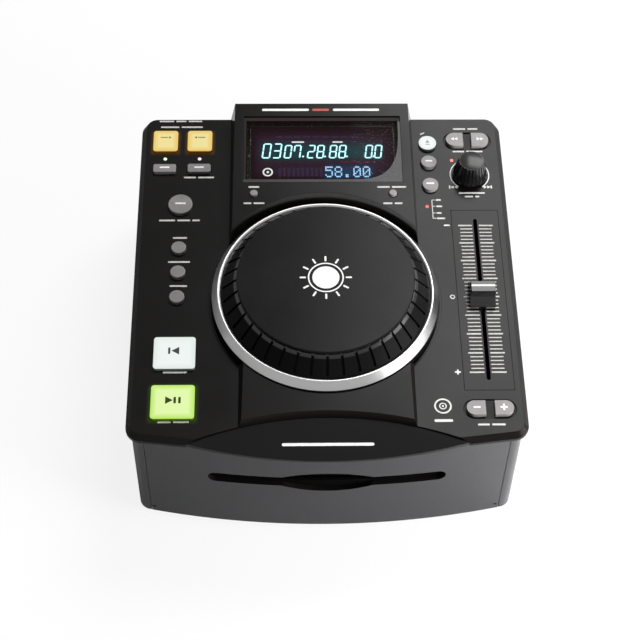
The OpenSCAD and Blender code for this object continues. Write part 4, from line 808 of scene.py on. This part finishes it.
class DISCPLAYER_OT_wheel(bpy.types.Operator):
    """Model the jog wheel: touch plate, skirt, silver ring and its bearing"""

    bl_idname = "discplayer.wheel"
    bl_label = "Jog wheel"

    def execute(self, context):
        looks = context.scene.disc_player_looks
        outline = ((0.0, 104.5), (49.6, 104.5), (50.1, 104.9), (50.1, 106.1), (49.5, 106.64), (0.0, 106.64))
        plate = lathe("jog_touch_plate_turned", outline, 0, JOG_Y, 192, 25)
        finish = abs_spark_eroded("ABS spark-eroded, touch plate", "#0e0d0d", 0.065)
        done(plate, finish, "jog", ("jog_touch_plate",))
        skirt = abs_spark_eroded("ABS spark-eroded, wheel", "#0d0c0c", 0.03, worn=(102.7, 103.2))
        dressed("jog_wheel", skirt, looks.edge)
        silver = metal_turned("Aluminium turned and lacquered", "#a9a8a8", 0.3, 0, JOG_Y, 0.8, 0.002)
        dressed("jog_trim_ring", silver, 0.12 * MM)
        painted("jog_bush", metal_turned("Bronze sintered", "#b08d57", 0.4, 0, JOG_Y, 0.6, 0.004))
        painted("jog_shaft", metal_turned("Steel ground, jog shaft", "#c2c4c6", 0.2, 0, JOG_Y, 0.5, 0.002))
        painted("jog_carrier", abs_spark_eroded("ABS spark-eroded, pan", "#1d1d1e"))
        # A plain white disc with a ring round it and short rays, printed in the middle of the touch plate
        marks = [disc(0, JOG_Y, 7.6, TOUCH, 96), ring(0, JOG_Y, 10.1, 9.3, TOUCH)]
        for angle in [math.tau * i / 12 for i in range(12)]:
            x, y = 12.9 * math.cos(angle), JOG_Y + 12.9 * math.sin(angle)
            marks.append(bar(x, y, 3.6, 1.1, TOUCH, math.degrees(angle)))
        joined("touch_plate_marks", marks, ink("Ink, white", "#f2f2f0"), "jog")
        return {"FINISHED"}


class DISCPLAYER_OT_keys(bpy.types.Operator):
    """Dress the keys and print a plain mark on most of them"""

    bl_idname = "discplayer.keys"
    bl_label = "Keys"

    def execute(self, context):
        looks = context.scene.disc_player_looks
        satin = key_satin("PC satin-lacquered, grey keys", looks.key_colour)
        for node in GREY_KEYS:
            dressed(node, satin, looks.key_edge, 3)
        for node, tones in LIT_KEYS.items():
            low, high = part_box(node)
            finish = key_lit("PC milky, lit " + node.replace("_", " "), tones, low, high, KEY_GLOW * looks.glow)
            dressed(node, finish, looks.edge, 3)
        dressed("key_frames", abs_spark_eroded("ABS spark-eroded, key frames", "#0c0b0b", 0.06), 0.25 * MM)
        dressed("power_button", abs_spark_eroded("ABS spark-eroded, power button", "#1b1b1c"), 0.4 * MM)
        self.marks()
        return {"FINISHED"}

    def marks(self):
        """Signs on the caps: arrowheads, bars and dashes, each on its own key."""
        white = ink("Ink, white on keys", "#efeff0")
        black = ink("Ink, black on keys", "#20201e")
        grey = ink("Ink, grey on keys", "#8d8a86")
        green = ink("Ink, dark green on keys", "#2c3c04", 0.1)
        brown = ink("Ink, brown on keys", "#8a784a", 0.1)
        # Each key, its ink and its shapes: bars as x, y, width and depth, arrowheads as x, y, size and turn
        signs = (
            ("clear_key", white, [(0, 0.4, 6.0, 1.2)], []),
            ("exit_key", white, [(0, 0.4, 6.0, 1.2)], []),
            ("tap_key", white, [(0, 0.4, 6.4, 1.2)], []),
            ("lock_key", white, [(0, 0.4, 4.4, 1.2)], []),
            ("range_key", white, [(0, 0.4, 4.8, 1.2)], []),
            ("loop_key_1", brown, [(-1.0, 2.6, 4.6, 0.7)], [(2.4, 2.6, 1.1, 0)]),
            ("loop_key_2", brown, [(1.0, 2.6, 4.6, 0.7)], [(-2.4, 2.6, 1.1, 180)]),
            ("cue_key", black, [(-2.9, 1.2, 1.2, 4.4)], [(1.2, 1.2, 2.9, 180)]),
            ("play_key", green, [(1.2, 0.9, 1.4, 4.2), (3.8, 0.9, 1.4, 4.2)], [(-2.6, 0.9, 2.8, 0)]),
            ("eject_key", grey, [(0, -1.4, 2.6, 0.6)], [(0, 0.6, 1.5, 90)]),
            ("search_back_key", white, [], [(-1.0, 0.4, 1.3, 180), (1.2, 0.4, 1.3, 180)]),
            ("search_forward_key", white, [], [(-1.2, 0.4, 1.3, 0), (1.0, 0.4, 1.3, 0)]),
            ("bend_minus_key", white, [(0.4, 0.2, 4.0, 1.0)], []),
            ("bend_plus_key", white, [(-0.3, 0.2, 4.2, 1.1), (-0.3, 0.2, 1.1, 4.2)], []),
        )
        for node, finish, bars, heads in signs:
            x, y, plane = key_plane(node)
            pieces = []
            for dx, dy, width, depth in bars:
                # The upright bar of a plus stands a little higher, so that the two do not share a face
                height = PRINT * 1.3 if node == "bend_plus_key" and depth > width else PRINT
                pieces.append(bar(x + dx, y + dy, width, depth, plane, height=height))
            pieces += [triangle(x + dx, y + dy, size, plane, turn) for dx, dy, size, turn in heads]
            joined(node + "_mark", pieces, finish, BODY_OF[node])


class DISCPLAYER_OT_lights(bpy.types.Operator):
    """Model the domed light pipes"""

    bl_idname = "discplayer.lights"
    bl_label = "Status lights"

    def execute(self, context):
        places = (
            (-95.0, 87.1, "#d8ffd0", "green"), (-74.2, 87.1, "#ffd6dc", "pink"), (78.8, 85.5, "#ff8a80", "red"),
            (62.0, 50.2, "#ff6a60", "amber"),
        )
        outline = ((0.0, 71.6), (1.0, 71.6), (1.0, 84.55), (0.92, 84.75), (0.7, 84.9), (0.35, 84.98), (0.0, 85.0))
        for number, (x, y, colour, tone) in enumerate(places, 1):
            pipe = lathe("light_pipe_%d" % number, outline, x, y, 24, 35)
            replaces = ("status_lights",) if number == 1 else ()
            done(pipe, lamp("PMMA light pipe, " + tone, colour, 1.6), "case", replaces)
        return {"FINISHED"}


class DISCPLAYER_OT_knob(bpy.types.Operator):
    """Dress the parameter knob, its encoder and the printing round it"""

    bl_idname = "discplayer.knob"
    bl_label = "Parameter knob"

    def execute(self, context):
        x, y, (_, top, _) = key_plane("parameter_knob")
        dressed("parameter_knob", abs_spark_eroded("ABS spark-eroded, knob", "#0e0e0e", 0.4), 0.2 * MM)
        outline = ((0.0, top - 0.5), (7.0, top - 0.5), (7.0, top + 0.02), (6.85, top + 0.1), (0.0, top + 0.1))
        finish = abs_spark_eroded("ABS spark-eroded, knob cap", "#242423", 0.18)
        done(lathe("knob_cap", outline, x, y, 64, 35), finish, "knob")
        painted("encoder_shaft", metal_turned("Steel ground, encoder shaft", "#c2c4c6", 0.2, x, y, 0.5, 0.002))
        painted("encoder_body", steel_plated("Steel tinned, encoder", "#a9abad"))
        arcs = [ring(x, y, 12.0, 11.35, PANEL, keep=lambda a: 112 < a < 232 or a > 308 or a < 68)]
        for side, turn in ((-1, 180), (1, 0)):
            middle = x + side * 9.65
            arcs.append(bar(middle + side * 2.9, 64.9, 0.8, 2.5, PANEL))
            arcs.append(triangle(middle + side * 1.1, 64.9, 1.35, PANEL, turn))
            arcs.append(triangle(middle - side * 1.1, 64.9, 1.35, PANEL, turn))
        joined("knob_printing", arcs, ink("Ink, white round the knob", "#dcdbd8"))
        return {"FINISHED"}


class DISCPLAYER_OT_fader(bpy.types.Operator):
    """Dress the fader, its trim plate and its scale"""

    bl_idname = "discplayer.fader"
    bl_label = "Pitch fader"

    def execute(self, context):
        looks = context.scene.disc_player_looks
        x, y, plane = key_plane("fader_cap")
        dressed("fader_cap", abs_spark_eroded("ABS spark-eroded, fader cap", "#1b1a1a", 0.3), 0.35 * MM, 3)
        line = bar(x, y + 0.5, 13.6, 1.1, plane)
        joined("fader_cap_line", [line], ink("Ink, white on the fader", "#f4f4f2"), "fader")
        dressed("fader_plate", abs_spark_eroded("ABS spark-eroded, fader plate", looks.case_colour), 0.1 * MM)
        painted("fader_carriage", steel_plated("Steel plated, carriage", "#a8abae"))
        painted("fader_body", steel_plated("Steel blackened, fader", "#0d0d0e", 0.5))
        marks = []
        for number in range(looks.scale_marks):
            width, depth = LONG_MARK if number % 5 == 0 else SHORT_MARK
            down = SCALE_TOP - number * SCALE_LENGTH / (looks.scale_marks - 1)
            marks += [bar(x + s * (SCALE_GAP + width / 2), down, width, depth, PANEL, ends=0.3) for s in (-1, 1)]
        joined("fader_scale", marks, ink("Ink, pale grey scale", "#bdbbb6"))
        signs = [bar(72.9, 36.1, 3.6, 0.9, PANEL), bar(72.9, -66.1, 3.4, 0.9, PANEL)]
        signs.append(bar(72.9, -66.1, 0.9, 3.4, PANEL, height=PRINT * 1.3))
        signs.append(ring(73.1, -15.3, 1.5, 0.9, PANEL, corners=24))
        joined("fader_signs", signs, ink("Ink, white fader signs", "#e9e8e6"))
        return {"FINISHED"}


class DISCPLAYER_OT_printing(bpy.types.Operator):
    """Print the captions as plain dashes, and plain lines where a name would stand"""

    bl_idname = "discplayer.printing"
    bl_label = "Printing"

    def execute(self, context):
        dashes = []
        for x, y, widths, plane in CAPTIONS:
            start = x - (sum(widths) + DASH_GAP * (len(widths) - 1)) / 2
            for width in widths:
                dashes.append(bar(start + width / 2, y, width, DASH_DEPTH, plane, ends=0.35))
                start += width + DASH_GAP
        dashes.append(bar(65.1, 48.2, 0.5, 14.2, PANEL))
        dashes += [bar(66.0, y, 1.8, 0.5, PANEL) for y in (55.1, 50.3, 45.3, 41.3)]
        dashes.append(bar(62.0, 106.8, 3.0, 0.9, PANEL, turn=28))
        joined("captions", dashes, ink("Ink, white captions", "#cfcdca"))
        names = [bar(-22.0, 114.2, 28.6, 1.7, DECK), bar(21.0, 114.2, 28.2, 1.7, DECK)]
        names.append(bar(0.0, -110.6, 50.0, 1.7, FASCIA))
        joined("name_lines", names, ink("Ink, white name lines", "#f1f0ee"))
        joined("name_line_red", [bar(-0.6, 114.2, 10.4, 1.7, DECK)], ink("Ink, red", "#b0483a"))
        x, y = 63.3, -88.0
        signs = [ring(x, y, 4.8, 3.9, PANEL), ring(x, y, 2.1, 1.5, PANEL), disc(x, y, 0.6, PANEL, 24)]
        signs.append(bar(63.2, -97.2, 10.2, 1.6, PANEL))
        joined("disc_sign", signs, ink("Ink, white disc sign", "#dddbd8"))
        return {"FINISHED"}


class DISCPLAYER_OT_rear(bpy.types.Operator):
    """Dress the boards and the sockets, with a metal washer and a coloured band round each"""

    bl_idname = "discplayer.rear"
    bl_label = "Boards and rear"

    def execute(self, context):
        dressed("rear_sockets", abs_spark_eroded("Nylon moulded, sockets", "#1d1d1e"), 0.2 * MM)
        painted("control_boards", board_fr4("FR4 control boards", "#175038"))
        painted("main_board", board_fr4("FR4 main board", "#175038"))
        painted("power_supply", board_fr4("FR4 power supply", "#6a5a2c"))
        nickel = steel_plated("Brass nickel-plated, collars", "#c9c8c2", 0.2, 1.5)
        washer = ((4.17, 0.0), (6.0, 0.0), (6.0, 0.4), (5.75, 0.6), (4.17, 0.6), (4.17, 0.0))
        band = ((4.17, 0.0), (4.75, 0.0), (4.75, 1.3), (4.5, 1.55), (4.17, 1.55), (4.17, 0.0))
        collars = []
        for x, tone, colour in SOCKETS:
            collars.append(self.round_barrel("collar", washer, x, WASHER_Y))
            piece = self.round_barrel("socket_band_" + tone, band, x, BAND_Y)
            done(piece, key_satin("PVC moulded, band " + tone, colour), "case")
        joined("socket_collars", collars, nickel)
        return {"FINISHED"}

    def round_barrel(self, name, outline, x, y):
        """A turned piece round a socket's barrel, facing the back."""
        place = Matrix.Translation(Vector((x, y, SOCKET_Z)) * MM) @ Matrix.Rotation(math.radians(-90), 4, "X")
        return settled(lathe(name, outline, steps=48), place)


class DISCPLAYER_OT_drive(bpy.types.Operator):
    """Finish the disc drive"""

    bl_idname = "discplayer.drive"
    bl_label = "Disc drive"

    def execute(self, context):
        painted("drive_frame", steel_plated("Steel zinc-plated sheet", "#a7a9ab", 0.34, 4.0))
        black = abs_spark_eroded("POM moulded, drive", "#1c1c1d")
        for node in ("turntable", "clamp_puck", "pickup_sled"):
            painted(node, black)
        painted("feed_roller", rubber_moulded("Rubber moulded, roller", "#1b1b1b"))
        rod = steel_plated("Steel ground, rods", "#c4c6c8", 0.18, 1.0)
        for node in ("guide_rods", "lead_screw"):
            painted(node, rod)
        painted("drive_motors", steel_plated("Steel plated, motor cans", "#b0b1b2", 0.24, 6.0))
        return {"FINISHED"}


# ---- Stage ----


class DISCPLAYER_OT_stage(bpy.types.Operator):
    """Set the floor, the pale surroundings, the lamps and the camera"""

    bl_idname = "discplayer.stage"
    bl_label = "Stage"

    def execute(self, context):
        self.floor()
        self.surroundings(context)
        self.lamps()
        self.camera(context)
        context.scene.view_settings.view_transform = "Standard"
        return {"FINISHED"}

    def floor(self):
        """White paper, mostly plain white to the camera, with a weak shadow left on it."""
        bpy.ops.mesh.primitive_grid_add(x_subdivisions=4, y_subdivisions=4, size=12)
        floor = bpy.context.active_object
        floor.name = "floor"
        finish, tree, shader, place = start_finish("Paper, white", "#f8f8f7", 0.9, 0.1)
        grain(tree, shader, place, 3.0, 0.02)
        seen = add_node(tree, "LightPath").outputs["Is Camera Ray"]
        share = add_node(tree, "Math", {0: seen, 1: FLOOR_WHITE}, operation="MULTIPLY")
        white = add_node(tree, "Emission", {"Color": linear("#ffffff"), "Strength": 1.0})
        out = next(node for node in tree.nodes if node.type == "OUTPUT_MATERIAL")
        fed(out, {"Surface": add_node(tree, "MixShader", {0: share, 1: shader, 2: white})})
        floor.data.materials.append(finish)

    def surroundings(self, context):
        """White to the camera and in reflections, and an even soft light on everything else."""
        world = bpy.data.worlds.new("Studio")
        context.scene.world = world
        world.use_nodes = True
        tree = world.node_tree
        tree.nodes.clear()
        path = add_node(tree, "LightPath").outputs
        most = path["Is Camera Ray"]
        for kind in ("Is Glossy Ray", "Is Transmission Ray"):
            most = add_node(tree, "Math", {0: most, 1: path[kind]}, operation="MAXIMUM")
        white = add_node(tree, "Background", {"Color": linear("#ffffff"), "Strength": 1.0})
        soft = add_node(tree, "Background", {"Color": linear("#f4f6fa"), "Strength": SOFT_LIGHT})
        add_node(tree, "OutputWorld", {"Surface": add_node(tree, "MixShader", {0: most, 1: soft, 2: white})})

    def lamps(self):
        """A large soft box behind on the right, which the flat panel mirrors, one beside it, and a fill in front."""
        for name, spot, aim, width, height, power in LAMPS:
            bpy.ops.object.light_add(type="AREA", location=spot)
            light = bpy.context.active_object
            light.name = name
            light.data.shape, light.data.size, light.data.size_y, light.data.energy = "RECTANGLE", width, height, power
            light.rotation_euler = (Vector(aim) - Vector(spot)).to_track_quat("-Z", "Y").to_euler()
            # The small fill would be mirrored too brightly in the window and the touch plate
            light.visible_glossy = not name.startswith("Fill")

    def camera(self, context):
        """A long lens from in front and above."""
        bpy.ops.object.camera_add()
        camera = bpy.context.active_object
        pitch, yaw, roll = (math.radians(angle) for angle in CAMERA_TURN)
        ahead = Vector((math.sin(yaw) * math.cos(pitch), math.cos(yaw) * math.cos(pitch), -math.sin(pitch)))
        level = Vector((math.cos(yaw), -math.sin(yaw), 0))
        upright = level.cross(ahead)
        right = math.cos(roll) * level + math.sin(roll) * upright
        up = -math.sin(roll) * level + math.cos(roll) * upright
        turned = Matrix((right, up, -ahead)).transposed().to_4x4()
        camera.matrix_world = Matrix.Translation(CAMERA_AT) @ turned
        camera.data.sensor_width = SENSOR
        camera.data.lens = SENSOR * FOCAL / PICTURE
        camera.data.clip_start = 0.01
        context.scene.camera = camera


class DISCPLAYER_PT_parts(bpy.types.Panel):
    """The player's pieces and finishes"""

    bl_idname = "DISCPLAYER_PT_parts"
    bl_label = "Disc player"
    bl_space_type = "VIEW_3D"
    bl_region_type = "UI"
    bl_category = "Disc player"

    def draw(self, context):
        looks = context.scene.disc_player_looks
        for name in looks.bl_rna.properties.keys():
            if name not in ("rna_type", "name"):
                self.layout.prop(looks, name)
        for operator in OPERATORS:
            self.layout.operator(operator.bl_idname)


OPERATORS = (
    DISCPLAYER_OT_case, DISCPLAYER_OT_display, DISCPLAYER_OT_wheel, DISCPLAYER_OT_keys, DISCPLAYER_OT_lights,
    DISCPLAYER_OT_knob, DISCPLAYER_OT_fader, DISCPLAYER_OT_printing, DISCPLAYER_OT_rear, DISCPLAYER_OT_drive,
    DISCPLAYER_OT_stage,
)


def register():
    for kind in (DiscPlayerLooks, *OPERATORS, DISCPLAYER_PT_parts):
        bpy.utils.register_class(kind)
    bpy.types.Scene.disc_player_looks = PointerProperty(type=DiscPlayerLooks)


def unregister():
    del bpy.types.Scene.disc_player_looks
    for kind in (DISCPLAYER_PT_parts, *reversed(OPERATORS), DiscPlayerLooks):
        bpy.utils.unregister_class(kind)


def main():
    register()
    for operator in OPERATORS:
        group, name = operator.bl_idname.split(".")
        getattr(getattr(bpy.ops, group), name)()


if __name__ == "__main__":
    main()
